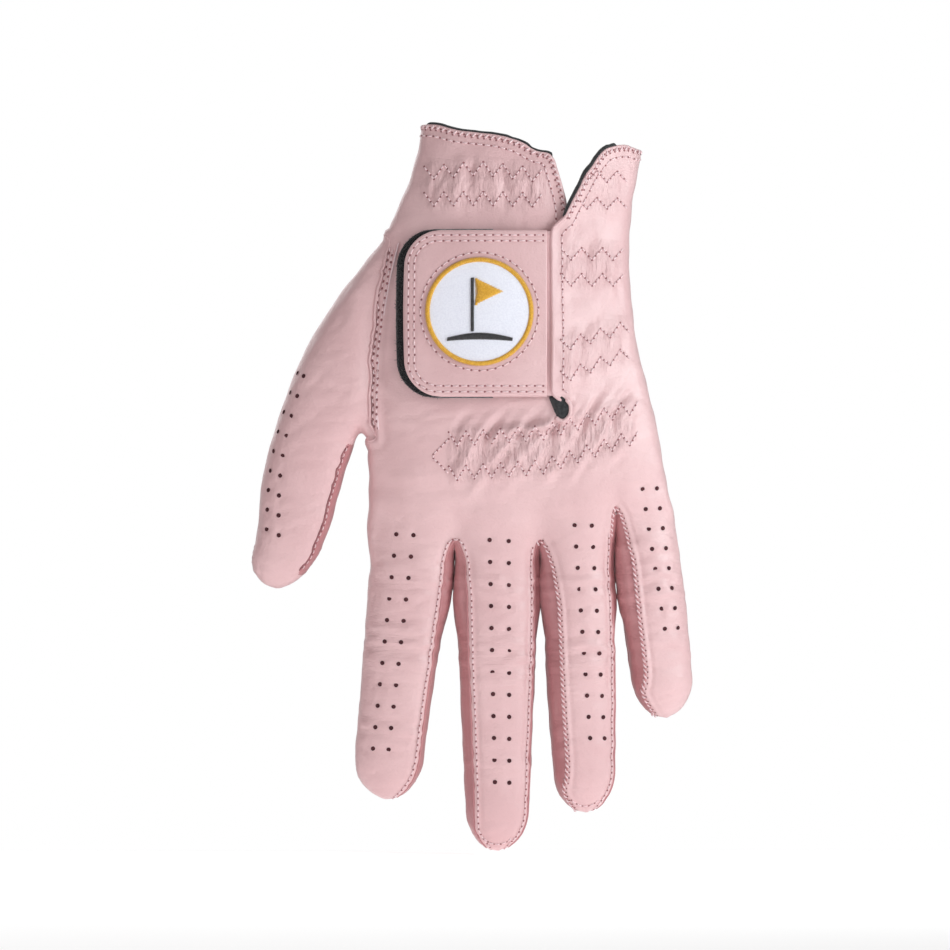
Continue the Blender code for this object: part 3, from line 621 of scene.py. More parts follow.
def leather(name, color, shade, rough=0.5):
    """Dyed, finished leather: uneven dye, pores, a fine crackle, soft folds and a waxy top coat."""
    material, tree, shader = nodes_of(name)
    broad = noise(tree, 28, 4)
    fine = noise(tree, 260, 3)
    tint = blend_color(tree, ramp(tree, broad.outputs["Fac"], 0.35, 0.68, 0, 1), shade, color)
    pores = cells(tree, 1500)
    mix = tree.nodes.new("ShaderNodeMix")
    mix.data_type = "RGBA"
    mix.blend_type = "MULTIPLY"
    mix.inputs["Factor"].default_value = 0.35
    link(tree, tint, mix.inputs[6])
    link(tree, ramp(tree, pores.outputs["Distance"], 0.0, 0.35, 0.86, 1.0), mix.inputs[7])
    link(tree, mix.outputs[2], shader.inputs["Base Color"])
    link(tree, ramp(tree, fine.outputs["Fac"], 0.3, 0.7, rough - 0.07, rough + 0.09), shader.inputs["Roughness"])
    for socket, value in (("Specular IOR Level", 0.62), ("Sheen Weight", 0.22), ("Sheen Roughness", 0.5),
                          ("Coat Weight", 0.46), ("Coat Roughness", 0.36)):
        shader.inputs[socket].default_value = value
    crackle = cells(tree, 640, "DISTANCE_TO_EDGE", (1, 1, 1.5))
    wrinkles = noise(tree, 190, 4, (0.35, 0.5, 1.6))
    folded = ramp(tree, broad.outputs["Fac"], 0.42, 0.6, 0.0, 1.0)
    bumps(tree, shader, [
        (masked(tree, "pinch", noise(tree, 300, 4, (1.7, 1.0, 0.6))), 0.0026, 0.8),
        (masked(tree, "crease", noise(tree, 420, 3, (0.22, 0.5, 1.5))), 0.0011, 0.55),
        (broad.outputs["Fac"], 0.0013, 0.24),
        (multiply(tree, wrinkles.outputs["Fac"], folded), 0.0012, 0.36),
        (ramp(tree, crackle.outputs["Distance"], 0.0, 0.16, 0, 1), 0.00006, 0.28),
        (pores.outputs["Distance"], 0.00007, 0.40),
        (fine.outputs["Fac"], 0.00022, 0.34)])
    return material


def cloth(name, color, shade, scale, rough, sheen, depth=0.0002):
    """Cloth or thread with a grain of two tones. depth is the grain's height in metres."""
    material, tree, shader = nodes_of(name)
    weave = noise(tree, scale, 2)
    link(tree, blend_color(tree, ramp(tree, weave.outputs["Fac"], 0.35, 0.65, 0, 1), shade, color),
         shader.inputs["Base Color"])
    shader.inputs["Roughness"].default_value = rough
    shader.inputs["Sheen Weight"].default_value = sheen
    bumps(tree, shader, [(weave.outputs["Fac"], depth, 0.7)])
    return material


PINK, PINK_SHADE = (0.80, 0.52, 0.53), (0.73, 0.445, 0.458)
# ROSE and ROSE_SHADE colour the walls between the fingers and the thumb's side towards them: a deeper rose than the
# back, painted shade of these recessed, sideways sides.
ROSE, ROSE_SHADE = (0.57, 0.235, 0.245), (0.47, 0.175, 0.19)
SUEDE, SUEDE_SHADE = (0.74, 0.56, 0.55), (0.64, 0.46, 0.46)
leather_mat = leather("pink_leather", PINK, PINK_SHADE)
wall_shade_mat = leather("rose_leather", ROSE, ROSE_SHADE, 0.58)
inside_mat = cloth("suede", SUEDE, SUEDE_SHADE, 1400, 0.92, 0.4, 0.0003)
thread_mat = cloth("pink_thread", (0.93, 0.72, 0.74), (0.80, 0.54, 0.57), 2600, 0.55, 0.25, 0.0001)
hole_mat = cloth("hole_shadow", (0.09, 0.025, 0.03), (0.05, 0.012, 0.016), 800, 0.95, 0.0)
# Dark rose for the needle holes and the thumb's inner seam line: painted shade.
needle_shade_mat = cloth("needle_hole", (0.36, 0.15, 0.16), (0.28, 0.11, 0.12), 800, 0.95, 0.0)
knit_mat = cloth("dark_knit", (0.035, 0.035, 0.038), (0.012, 0.012, 0.014), 1500, 0.9, 0.35, 0.0004)
pile_mat = cloth("loop_pile", (0.022, 0.022, 0.026), (0.008, 0.008, 0.010), 1500, 0.95, 0.5, 0.0005)
hook_mat = cloth("hook_tape", (0.72, 0.46, 0.50), (0.60, 0.36, 0.40), 1800, 0.6, 0.1, 0.0003)
twill_mat = cloth("twill", (0.90, 0.89, 0.98), (0.83, 0.82, 0.92), 2400, 0.8, 0.3, 0.0001)
gold_mat = cloth("gold_thread", (0.88, 0.50, 0.05), (0.72, 0.36, 0.02), 2400, 0.42, 0.3, 0.0001)
black_mat = cloth("black_thread", (0.045, 0.04, 0.045), (0.02, 0.018, 0.02), 2400, 0.5, 0.3, 0.0001)
elastic_mat = cloth("elastic", (0.82, 0.78, 0.76), (0.66, 0.60, 0.58), 1400, 0.8, 0.2, 0.0003)


def towards(path, kind=None):
    """For each point of a closed seam, the direction in the skin to the faces of a kind, or to any face."""
    way = np.zeros((len(path), 3))
    for k, index in enumerate(path):
        after = path[(k + 1) % len(path)]
        for face in edge_table[(min(index, after), max(index, after))]:
            if kind is None or kinds[face] == kind:
                way[k] = centre_of_face[face] - (skin[index] + skin[after]) / 2
    return way


# ---------------------------------------------------------------- form of the leather: outline and seams
def round_tip(points, mine, origin, down, height):
    """Draws the end of a finger or the thumb to a half ellipse of this height, seen from the back."""
    slice_reach = 0.55 * MM
    side = sideways(down)
    along, across = (points - origin) @ down, (points - origin) @ side
    depth = along[mine].max() - along
    steps = np.linspace(0, height, 26)
    middle, half = np.zeros(len(steps)), np.zeros(len(steps))
    for k, step in enumerate(steps):
        near_step = mine & (np.abs(depth - step) < slice_reach)
        low, high = across[near_step].min(), across[near_step].max()
        middle[k], half[k] = (low + high) / 2, (high - low) / 2
    wanted = half[-1] * np.sqrt(np.maximum(1 - ((height - steps) / height) ** 2, 0.01))
    scale = np.clip(wanted / half, 0.5, 1.25)
    moved = (across - np.interp(depth, steps, middle)) * (np.interp(depth, steps, scale) - 1)
    moved *= mine & (depth < height)
    return points + moved[:, None] * side


TIP_HEIGHT = 11 * MM
for finger in FINGERS:
    skin = round_tip(skin, points_on(finger + "_tip"), AXES[finger].near, AXES[finger].down, TIP_HEIGHT)
skin = round_tip(skin, points_on("thumb_tip"), thumb_start, thumb_down, 12 * MM)

# The walls that face the thumb show from the back, so their seams slide over the back of the finger.
SLIDES = {"index": 0.0, "middle": 0.9, "ring": 1.9, "little": 1.9}     # mm
SLIDE_REACH = 5 * MM
smooth_skin = surface_of(skin, quads)
lines, ways, amounts = [], [], []
for path in wall_seams:
    way = unit(relax(unit(towards(path, TRANK)), 5, True))
    slides = []
    for place, direction in zip(skin[path], way):
        name, off = finger_at(place)
        faces_thumb = direction[0] > 0.1 and off < 0 and place[1] < -6 * MM
        fade_in = smoothstep((along_finger(name, place) + 3 * MM) / (9 * MM))
        fade_out = smoothstep((place[2] - TIP_Z[name]) / (9 * MM))
        slides.append([SLIDES[name] * faces_thumb * (fade_in * fade_out) * MM])
    lines += list(skin[path])
    ways += list(way)
    amounts += list(relax(slides, 30, True)[:, 0])
seam_tree = tree_of(lines)
for k, place in enumerate(skin):
    _, nearby, distance = seam_tree.find(place)
    if distance < SLIDE_REACH and amounts[nearby] > 0.02 * MM:
        moved = place + ways[nearby] * amounts[nearby] * float(bump(distance / SLIDE_REACH))
        skin[k] = np.array(smooth_skin.find_nearest(Vector(moved))[0])

# The cuff's top edge keeps the CAD's line up to its corner at the slit.
CUFF_LOW, CUFF_RIGHT = 78 * MM, 11.8 * MM        # below the edge, and right of the corner
rim = skin[open_edge]
rim = rim[(rim[:, 0] < CUFF_RIGHT) & (rim[:, 1] < -8 * MM) & (rim[:, 2] > CUFF_LOW)]
cad_rim = cad_points("hand_leather")
cad_rim = cad_rim[(cad_rim[:, 0] < CUFF_RIGHT) & (cad_rim[:, 1] < -14 * MM) & (cad_rim[:, 2] > CUFF_LOW)]
spans = np.linspace(-21 * MM, 10.5 * MM, 12)
wanted = np.array([cad_rim[np.abs(cad_rim[:, 0] - x) < 4 * MM][:, 2].max() for x in spans])
present = np.array([rim[np.abs(rim[:, 0] - x) < 1.5 * MM][:, 2].max() for x in spans])
raised = relax((wanted - present)[:, None], 2)[:, 0]
lift = np.interp(skin[:, 0], spans, np.clip(raised, 0, 2.2 * MM))
lift *= smoothstep((skin[:, 2] - np.interp(skin[:, 0], spans, present)) / (9 * MM) + 1)
lift *= smoothstep((CUFF_RIGHT + 0.5 * MM - skin[:, 0]) / (1.5 * MM)) * (skin[:, 1] < -10 * MM)
skin[:, 2] += lift * (skin[:, 2] > CUFF_LOW - 8 * MM)

# The flap's outer corner is round.
rim = skin[open_edge]
corner_z = rim[rim[:, 0] > 15 * MM][:, 2].max()
corner_x = skin[(skin[:, 2] > corner_z - 3 * MM) & (skin[:, 0] > 0)][:, 0].max()
size = 4.5 * MM
u, v = (skin[:, 0] - corner_x + size) / size, (skin[:, 2] - corner_z + size) / size
inside = (u > 0) & (v > 0)
u, v = np.clip(u, 0, 1.1), np.clip(v, 0, 1.1)
skin[:, 0] = np.where(inside, corner_x - size + size * u * np.sqrt(1 - v * v / 2.2), skin[:, 0])
skin[:, 2] = np.where(inside, corner_z - size + size * v * np.sqrt(1 - u * u / 2.2), skin[:, 2])

# The flap's edge over the tab's root is drawn to a straight line beside the tab.
tab_low, tab_high = corners("tab_leather")
rim = skin[open_edge]
flap_side = rim[(rim[:, 0] > tab_high[0] - 1 * MM) & (rim[:, 0] < tab_high[0] + 9 * MM) & (rim[:, 1] < -18 * MM)]
flap_side = flap_side[(flap_side[:, 2] > tab_low[2] - 5 * MM) & (flap_side[:, 2] < tab_high[2] + 8 * MM)]
heights = np.linspace(tab_low[2] - 3 * MM, tab_high[2] + 5 * MM, 24)
edge_x, edge_y = [], []
for height in heights:
    there = flap_side[np.abs(flap_side[:, 2] - height) < 2.5 * MM]
    edge_y.append(there[:, 1].min())
    edge_x.append(there[there[:, 1] < there[:, 1].min() + 0.8 * MM][:, 0].mean())
x_edge, y_edge = np.interp(skin[:, 2], heights, edge_x), np.interp(skin[:, 2], heights, edge_y)
past = skin[:, 0] - x_edge
layer = (skin[:, 1] < y_edge + 1.2 * MM) | (past > 4 * MM)
shift = (tab_high[0] + 1.3 * MM - x_edge) * (1 - smoothstep(past / (8 * MM))) * layer * (past > -2 * MM)
shift *= smoothstep((skin[:, 2] - tab_low[2] + 2 * MM) / (3 * MM))
shift *= smoothstep((tab_high[2] + 3.5 * MM - skin[:, 2]) / (3.5 * MM))
skin[:, 0] += shift * (points_on("hand_leather") & (skin[:, 1] < -10 * MM))

normals = point_normals(skin, quads)
facing = smoothstep((-normals[:, 1] - 0.05) / 0.4)      # 1 where the skin faces out of the back
on_hand = points_of(lambda n: n == "hand_leather" or n.endswith("fourchette"))
on_back = on_hand & (skin[:, 1] < -4 * MM)
point_kind = np.full(len(skin), THUMB)
np.minimum.at(point_kind, quads.ravel(), np.repeat(kinds, 4))


def distance_to(paths):
    """How far each point of the skin is from the nearest of these seams."""
    lines = [resample(relax(skin[path], 3, True), 0.45 * MM, True) for path in paths]
    tree = tree_of(np.vstack(lines))
    return np.array([tree.find(p)[2] for p in skin])


from_wall, from_thumb = distance_to(wall_seams), distance_to([thumb_seam])

# Each punched row, in mm: pairs, pitch, the last pair's distance from the fingertip, and the pairs'
# spread and sideways shift at the knuckle and at the tip.
PUNCHES = {"index": (11, 5.56, 13.5, (4.4, 4.0), (-2.5, -2.6)), "middle": (12, 5.67, 18.6, (4.9, 3.7), (0.6, 1.2)),
           "ring": (11, 5.5, 20.0, (4.4, 3.7), (1.9, 3.6)), "little": (8, 5.2, 23.4, (3.7, 3.4), (2.3, 3.9))}
THUMB_PAIRS = 9
punches = []                     # the middle of each hole, seen from the back
for finger, (pairs, pitch, last, spread, shift) in PUNCHES.items():
    near, down, side = AXES[finger][:3]
    reach = (near[2] - TIP_Z[finger]) - last * MM
    tilt = -0.06 if finger == "index" else 0.06      # slope of each pair
    for k in range(pairs):
        share = k / (pairs - 1)
        along = near + down * (reach - (pairs - 1 - k) * pitch * MM)
        middle = along + side * (shift[0] + (shift[1] - shift[0]) * share) * MM
        half = (spread[0] + (spread[1] - spread[0]) * share) * MM / 2
        punches += [middle - (side + down * tilt) * half, middle + (side + down * tilt) * half]
low, high = corners("thumb_tip_leather")[0], corners("thumb_base_leather")[1]
for k in range(THUMB_PAIRS):
    share = k / (THUMB_PAIRS - 1)
    spot = low + (high - low) * np.array([0.315 - 0.185 * share, 0, 0.615 - 0.44 * share])
    spot[0] -= 2.2 * MM * math.sin(math.pi * share)
    spot[0] += 0.9 * MM
    half = (0.8 + 0.75 * share) * MM
    punches += [spot + np.array([half, 0, -0.5 * half]), spot - np.array([half, 0, -0.5 * half])]

# ---------------------------------------------------------------- form of the leather: gathers and folds
# Each gathered band: its CAD elastic, its two stitched rows as shares from the elastic's upper edge
# (0) to its lower (1), then in mm the zigzag's pitch and height, the depth of the folds, how far
# they run out above and below, and how much wider than the elastic the rows are at each end.
Gather = namedtuple("Gather", "node rows pitch zig depth run widen")
GATHERS = [Gather("cuff_elastic", (0.12, 0.80), 4.9, 3.5, 0.80, 5.0, (0.3, -1.4)),
           Gather("flap_top_elastic", (-0.8, 0.45), 5.0, 2.8, 0.45, 4.0, (3.0, 2.0)),
           Gather("flap_upper_elastic", (0.22, 0.80), 5.0, 3.1, 0.62, 5.0, (0.4, 1.0)),
           Gather("flap_lower_elastic", (0.18, 0.86), 5.0, 3.1, 0.62, 6.0, (0.4, 1.2)),
           Gather("knuckle_elastic", (0.12, 0.95), 4.4, 3.6, 1.15, 9.0, (1.0, 1.8))]


def band(gather, x):
    """Heights of a gather's upper and lower rows at x, and the x of its elastic's ends."""
    co = cad_points(gather.node)
    rounded = np.round(co[:, 0], 5)
    at = np.unique(rounded)
    top = np.array([co[rounded == a, 2].max() for a in at])
    low = np.array([co[rounded == a, 2].min() for a in at])
    upper, lower = (np.interp(x, at, top + (low - top) * share) for share in gather.rows)
    return upper, lower, at[0], at[-1]


def gathers(points):
    """Height of the pinched rows and of the upright folds between them."""
    x, z = points[:, 0], points[:, 2]
    wobble = waves(points, 17 * MM, 5) * 1.1
    lift = np.zeros(len(points))
    for gather in GATHERS:
        upper, lower, first, last = band(gather, x)
        wide = smoothstep((x - first + gather.widen[0] * MM) / (3 * MM))
        wide *= smoothstep((last + gather.widen[1] * MM - x) / (3 * MM))
        above, below = (z - upper) / (gather.run * MM), (lower - z) / (gather.run * MM)
        fade = smoothstep(1 - np.maximum(above, 0)) * smoothstep(1 - np.maximum(below, 0))
        slant = 0.75 if gather.node == "knuckle_elastic" else 0.2
        leaning = x - (z - (upper + lower) / 2) * slant
        fold = np.abs(np.sin(math.pi * leaning / (gather.pitch * MM) * 0.5 + wobble)) ** 0.8 * 2 - 1
        fine = np.sin(2 * math.pi * leaning / (gather.pitch * MM) + 1.3 * wobble)
        strength = 0.65 + 0.35 * waves(points, 14 * MM, 11)
        lift += wide * fade * (fold * 0.75 + fine * 0.35) * strength * gather.depth * MM
        for row in (upper, lower):
            lift -= wide * bump((z - row) / (2.1 * MM)) * 0.42 * MM
    return lift


def pinched(points):
    """1 where the leather is gathered by an elastic, fading to 0 away from it."""
    x, z = points[:, 0], points[:, 2]
    mask = np.zeros(len(points))
    for gather in GATHERS:
        upper, lower, first, last = band(gather, x)
        wide = smoothstep((x - first + 2 * MM) / (4 * MM)) * smoothstep((last + 2 * MM - x) / (4 * MM))
        fade = smoothstep(1 - (z - upper) / (4 * MM)) * smoothstep(1 - (lower - z) / (4 * MM))
        mask = np.maximum(mask, wide * fade * (1.0 if gather.node == "knuckle_elastic" else 0.6))
    return mask * facing * on_hand * (points[:, 1] < -4 * MM)


def creased(points):
    """1 at the middle joints of the fingers, where fine wrinkles run across, fading to 0."""
    mask = np.zeros(len(points))
    for name in FINGERS:
        along, off, length = along_finger(name, points), np.abs(across_finger(name, points)), AXES[name].length
        beside = smoothstep((11 * MM - off) / (3 * MM)) * smoothstep((along + 12 * MM) / (8 * MM))
        mine = np.where(on_hand, beside, points_on(name))
        zone = bump((along - length) / (16 * MM)) + 0.5 * bump((along - length * 2) / (12 * MM))
        zone += 0.5 * bump((along - length * 0.1) / (7 * MM))
        mask = np.maximum(mask, mine * np.clip(zone, 0.12, 1))
    return mask


# Folds that run out from the keyhole: their angles in degrees and lengths in mm.
KEY_FOLDS = ((196, 24), (207, 28), (219, 26), (234, 18), (262, 10))
KEY_FOLD_WIDTH, KEY_FOLD_DEPTH = 1.8 * MM, 0.72 * MM


def key_folds(points):
    """Height of the long folds that run out from the lower end of the slit."""
    low, high = corners("keyhole_patch")
    rel = points[:, [0, 2]] - [(low[0] + high[0]) / 2 - 2 * MM, low[2]]
    lift = np.zeros(len(points))
    for k, (angle, length) in enumerate(KEY_FOLDS):
        way = np.array([math.cos(math.radians(angle)), math.sin(math.radians(angle))])
        along, off = rel @ way, rel @ np.array([-way[1], way[0]])
        off = off + 1.2 * MM * np.sin(along / (7 * MM) + k)
        inside = smoothstep(along / (3 * MM)) * smoothstep((length * MM - along) / (length * 0.6 * MM))
        ridge = bump(off / KEY_FOLD_WIDTH) - 0.8 * bump((off - KEY_FOLD_WIDTH * 1.1) / (KEY_FOLD_WIDTH * 0.8))
        lift += inside * ridge * KEY_FOLD_DEPTH
    return lift


def form(points):
    """Displacement of the skin along its normals, in metres."""
    lift = np.full(len(points), 0.15 * MM)
    finger = ~on_hand
    # broad and small swells
    wide, tall = waves(points, 26 * MM, 1), waves(points, 8 * MM, 2, (1.4, 1.0, 0.8))
    lift += np.where(finger, 0.10, 0.42) * MM * wide + np.where(finger, 0.10, 0.16) * MM * tall
    # narrow creases, weaker on the sides
    crease = (1 - np.abs(waves(points, 5.2 * MM, 3, (3.4, 2.0, 1.0)))).clip(0) ** 5
    small = (1 - np.abs(waves(points, 3.4 * MM, 4, (2.6, 1.6, 1.0)))).clip(0) ** 5
    calm = 0.25 + 0.75 * smoothstep(np.abs(normals[:, 1]) * 1.4)
    lift -= (np.where(finger, 0.24, 0.16) * crease + np.where(finger, 0.13, 0.10) * small) * calm * MM
    # ripples across each finger's knuckles, each (place along the finger, depth in mm)
    below_crotch, ends = np.ones(len(points)), np.ones(len(points))
    for name in FINGERS:
        along, length = along_finger(name, points), AXES[name].length
        for centre, depth in ((length, 0.30), (length * 0.1, 0.14), (length * 2.1, 0.2)):
            ripple = np.sin(2 * math.pi * along / (4.3 * MM) + waves(points, 11 * MM, 7) * 1.8)
            lift += points_on(name) * bump((along - centre) / (9 * MM)) * depth * MM * ripple * calm
        beside = points_of(lambda n: n.startswith(name) or ("_" + name + "_") in n)
        below_crotch = np.where(beside, np.minimum(below_crotch, along), below_crotch)
        tip = points_on(name + "_tip")
        ends = np.where(tip, smoothstep((along[tip].max() - along) / (7 * MM)), ends)
    # a raised lip beside the seams to the walls, and walls that sink in along the fingers
    lip = bump((from_wall - 0.8 * MM) / (1.0 * MM)) * 0.22 - bump((from_wall - 1.9 * MM) / (0.9 * MM)) * 0.16
    close = 1 - smoothstep((below_crotch - 3 * MM) / (15 * MM))
    wall = (-0.50 * (1 - close) * ends + 0.85 * close) * smoothstep(from_wall / (2.4 * MM))
    lift += np.where(point_kind == TRANK, lip * (0.3 + 0.7 * ends), wall) * MM
    # a roll and a groove round the thumb's seam
    groove = bump((from_thumb - 0.9 * MM) / (1.0 * MM)) * 0.45 - bump((from_thumb - 2.6 * MM) / (1.2 * MM)) * 0.22
    lift += np.where(point_kind == THUMB, -0.35 * bump(from_thumb / (1.6 * MM)), groove) * MM
    lift += facing * gathers(points) * on_back + facing * on_hand * key_folds(points)
    # shallow pits round the punched holes
    pits = np.zeros(len(points))
    for spot in punches:
        away = ((points - spot)[:, [0, 2]] ** 2).sum(axis=1)
        pits = np.maximum(pits, np.exp(-away / (1.0 * MM) ** 2))
    return lift - facing * pits * 0.22 * MM


skin = skin + normals * form(skin)[:, None]
normals = point_normals(skin, quads)
centre_of_face = skin[quads].mean(axis=1)
surface = surface_of(skin, quads)


def front(x, z):
    """First point of the skin seen from the back-of-hand side at x, z, and its normal."""
    hit, normal, _, _ = surface.ray_cast(Vector((x, AHEAD, z)), Vector((0, 1, 0)))
    if hit is None:
        hit, normal, _, _ = surface.find_nearest(Vector((x, -0.02, z)))
    return np.array(hit), np.array(normal)


def nearest(p):
    hit, normal, _, _ = surface.find_nearest(Vector(p))
    return np.array(hit), np.array(normal)


# ---------------------------------------------------------------- the leather pieces
def leather_shell():
    """Outer and inner faces of all leather and the cut edges of cuff and slit, with each face's source."""
    count = len(skin)
    rims, first = [], []
    for (a, b), fs in edge_table.items():
        if len(fs) == 1:
            face = quads[fs[0]]
            k = list(face).index(a)
            start, end = (a, b) if face[(k + 1) % 4] == b else (b, a)
            rims.append([end, start, start + count, end + count])
            first.append(fs[0])
    points = np.vstack([skin, skin - normals * SHELL])
    faces = np.vstack([quads, quads[:, ::-1] + count, np.array(rims)])
    source = np.concatenate([np.arange(len(quads)), np.arange(len(quads)), first])
    mats = np.concatenate([np.zeros(len(quads), int), np.ones(len(quads), int), np.zeros(len(rims), int)])
    return points, faces, np.vstack([normals, -normals]), source, mats


def stood_for(region, kind):
    """The CAD nodes that a region's piece of leather or wall stands for."""
    between = ("gusset", "fourchette")
    words = [w for w in tag_names if any(b in w for b in between) == (kind == WALL)]
    if region == "hand":
        return [w for w in words if w == "hand_leather" or w.endswith("fourchette")]
    if region.startswith("thumb"):
        return [{"thumb_root": "thumb_base_leather", "thumb_end": "thumb_tip_leather"}[region]]
    finger, part = region.split("_")
    return [w for w in words if w.startswith(finger + ("_base" if part == "knuckle" else "_tip"))]


thumb_places = centre_of_face[kinds == THUMB] - thumb_start
thumb_steps, thumb_offs = thumb_places @ thumb_down, thumb_places @ thumb_side
thumb_first = (seam_low - thumb_start) @ thumb_down


def in_thumb_wall(home):
    """Whether a face of the thumb lies on the side towards the fingers."""
    step, off = (home - thumb_start) @ thumb_down, (home - thumb_start) @ thumb_side
    if step < thumb_first + 0.8 * MM or step > thumb_steps.max() - 3.5 * MM:
        return False
    return off > thumb_offs[np.abs(thumb_steps - step) < 1.0 * MM].max() - 2.2 * MM


shell_points, shell_faces, shell_normals, source_face, shell_mats = leather_shell()
masks = {"pinch": np.tile(pinched(skin), 2), "crease": np.tile(creased(skin), 2)}
for kind, piece, material, slot in ((TRANK, "leather", leather_mat, "leather"),
                                    (WALL, "gusset", wall_shade_mat, "wall_leather"),
                                    (THUMB, "leather", leather_mat, "leather")):
    chosen = np.flatnonzero(kinds[source_face] == kind)
    homes = centre_of_face[source_face[chosen]]
    looks = [int(shell_mats[f]) for f in chosen]
    # Thumb faces on the side towards the fingers get the walls' deeper rose, which is painted shade.
    if kind == THUMB:
        looks = [2 if look == 0 and in_thumb_wall(home) else look for look, home in zip(looks, homes)]
    made = emit(piece, shell_points, shell_faces[chosen].tolist(), homes, [material, inside_mat, wall_shade_mat],
                mats=looks, nodes=[tag_names[tags[f]] for f in source_face[chosen]], normals=shell_normals,
                masks=masks)
    for region, obj in made.items():
        nodes = stood_for(region, kind)
        if nodes:
            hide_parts(*nodes)


# ---------------------------------------------------------------- small solids
def ring_faces(rings, sides, closed=False):
    """Quads between neighbouring rings of points, closed if the last ring joins the first."""
    faces = []
    for k in range(rings if closed else rings - 1):
        m = (k + 1) % rings
        for i in range(sides):
            j = (i + 1) % sides
            faces.append([k * sides + i, k * sides + j, m * sides + j, m * sides + i])
    return faces


def grid_faces(rows, columns):
    grid = np.arange(rows * columns).reshape(rows, columns)
    return np.stack([grid[:-1, :-1], grid[:-1, 1:], grid[1:, 1:], grid[1:, :-1]], axis=-1).reshape(-1, 4)


def tube(batch, line, radius, sides, closed=False, home=None, normal=(0, -1, 0)):
    """A rod along a line. radius is one value or one for each point; open ends close on a smaller ring."""
    line = np.asarray(line, float)
    count = len(line)
    along = tangents(line, closed)
    side = unit(np.cross(along, np.broadcast_to(np.asarray(normal, float), line.shape)))
    out = np.cross(side, along)
    size = np.broadcast_to(np.asarray(radius, float), (count,)).copy()
    if not closed:
        size[[0, -1]] *= 0.45
    turn = np.linspace(0, 2 * math.pi, sides, endpoint=False)
    ring = np.cos(turn)[None, :, None] * side[:, None] + np.sin(turn)[None, :, None] * out[:, None]
    points = (line[:, None] + ring * size[:, None, None]).reshape(-1, 3)
    faces = ring_faces(count, sides, closed)
    if not closed:
        faces += [list(reversed(range(sides))), [i + (count - 1) * sides for i in range(sides)]]
    if home is None and count > 12:      # a long tube may cross a joint, so each of its faces has its own home
        home = np.repeat(line[:count if closed else count - 1], sides, axis=0)
        if not closed:
            home = np.vstack([home, line[:1], line[-1:]])
    batch.add(points, faces, home)


ARC = np.array([[0.0, -1.0], [0.14, 0.35], [0.5, 1.0], [0.86, 0.35], [1.0, -1.0]])    # share, height


def stitch(batch, a, b, normal, radius, rise):
    """One stitch from a to b that bows up between its two holes."""
    a, b = np.asarray(a, float), np.asarray(b, float)
    line = a + (b - a) * ARC[:, :1] + np.asarray(normal) * rise * ARC[:, 1:]
    tube(batch, line, radius, 5, home=(a + b) / 2, normal=normal)


def disc(batch, centre, normal, radius, sides, lift):
    """A small round spot, a little proud of a surface."""
    side = unit(np.cross(normal, (0.31, 0.2, 0.93)))
    up = np.cross(side, normal)
    turn = np.linspace(0, 2 * math.pi, sides, endpoint=False)
    rim = centre + normal * lift + (np.cos(turn)[:, None] * side + np.sin(turn)[:, None] * up) * radius
    points = np.vstack([rim, centre + normal * lift])
    batch.add(points, [[(k + 1) % sides, k, sides] for k in range(sides)], centre)


class Seam:
    """Stitches and their needle holes along seams of one kind. pitch and the sizes are in mm.

    gap is the share of a stitch left free at each of its ends, thread is (radius, rise), and hole is
    (radius, sides, lift).
    """

    def __init__(self, pitch, gap, thread, hole):
        self.pitch, self.gap, self.thread, self.hole = pitch * MM, gap, thread, hole
        self.stitches, self.holes = Batch(), Batch()

    def sew(self, spots, closed=False, skip=None):
        """Stitches from spot to spot on a surface. skip(a, b) says which are left out."""
        radius, rise = self.thread
        for (a, na), (b, nb) in zip(spots, spots[1:] + spots[:1] if closed else spots[1:]):
            if skip is not None and skip(a, b):
                continue
            free = (b - a) * self.gap
            stitch(self.stitches, a + free, b - free, unit(na + nb), radius * MM, rise * MM)
            self.prick(a, na)

    def prick(self, spot, normal):
        radius, sides, lift = self.hole
        disc(self.holes, spot, normal, radius * MM, sides, lift * MM)

    def emit(self, stitch_name, hole_name, body=None, node=None):
        self.stitches.emit(stitch_name, thread_mat, "thread", body, node)
        # The holes are dark discs: painted shade in each needle hole.
        self.holes.emit(hole_name, needle_shade_mat, "leather", body)


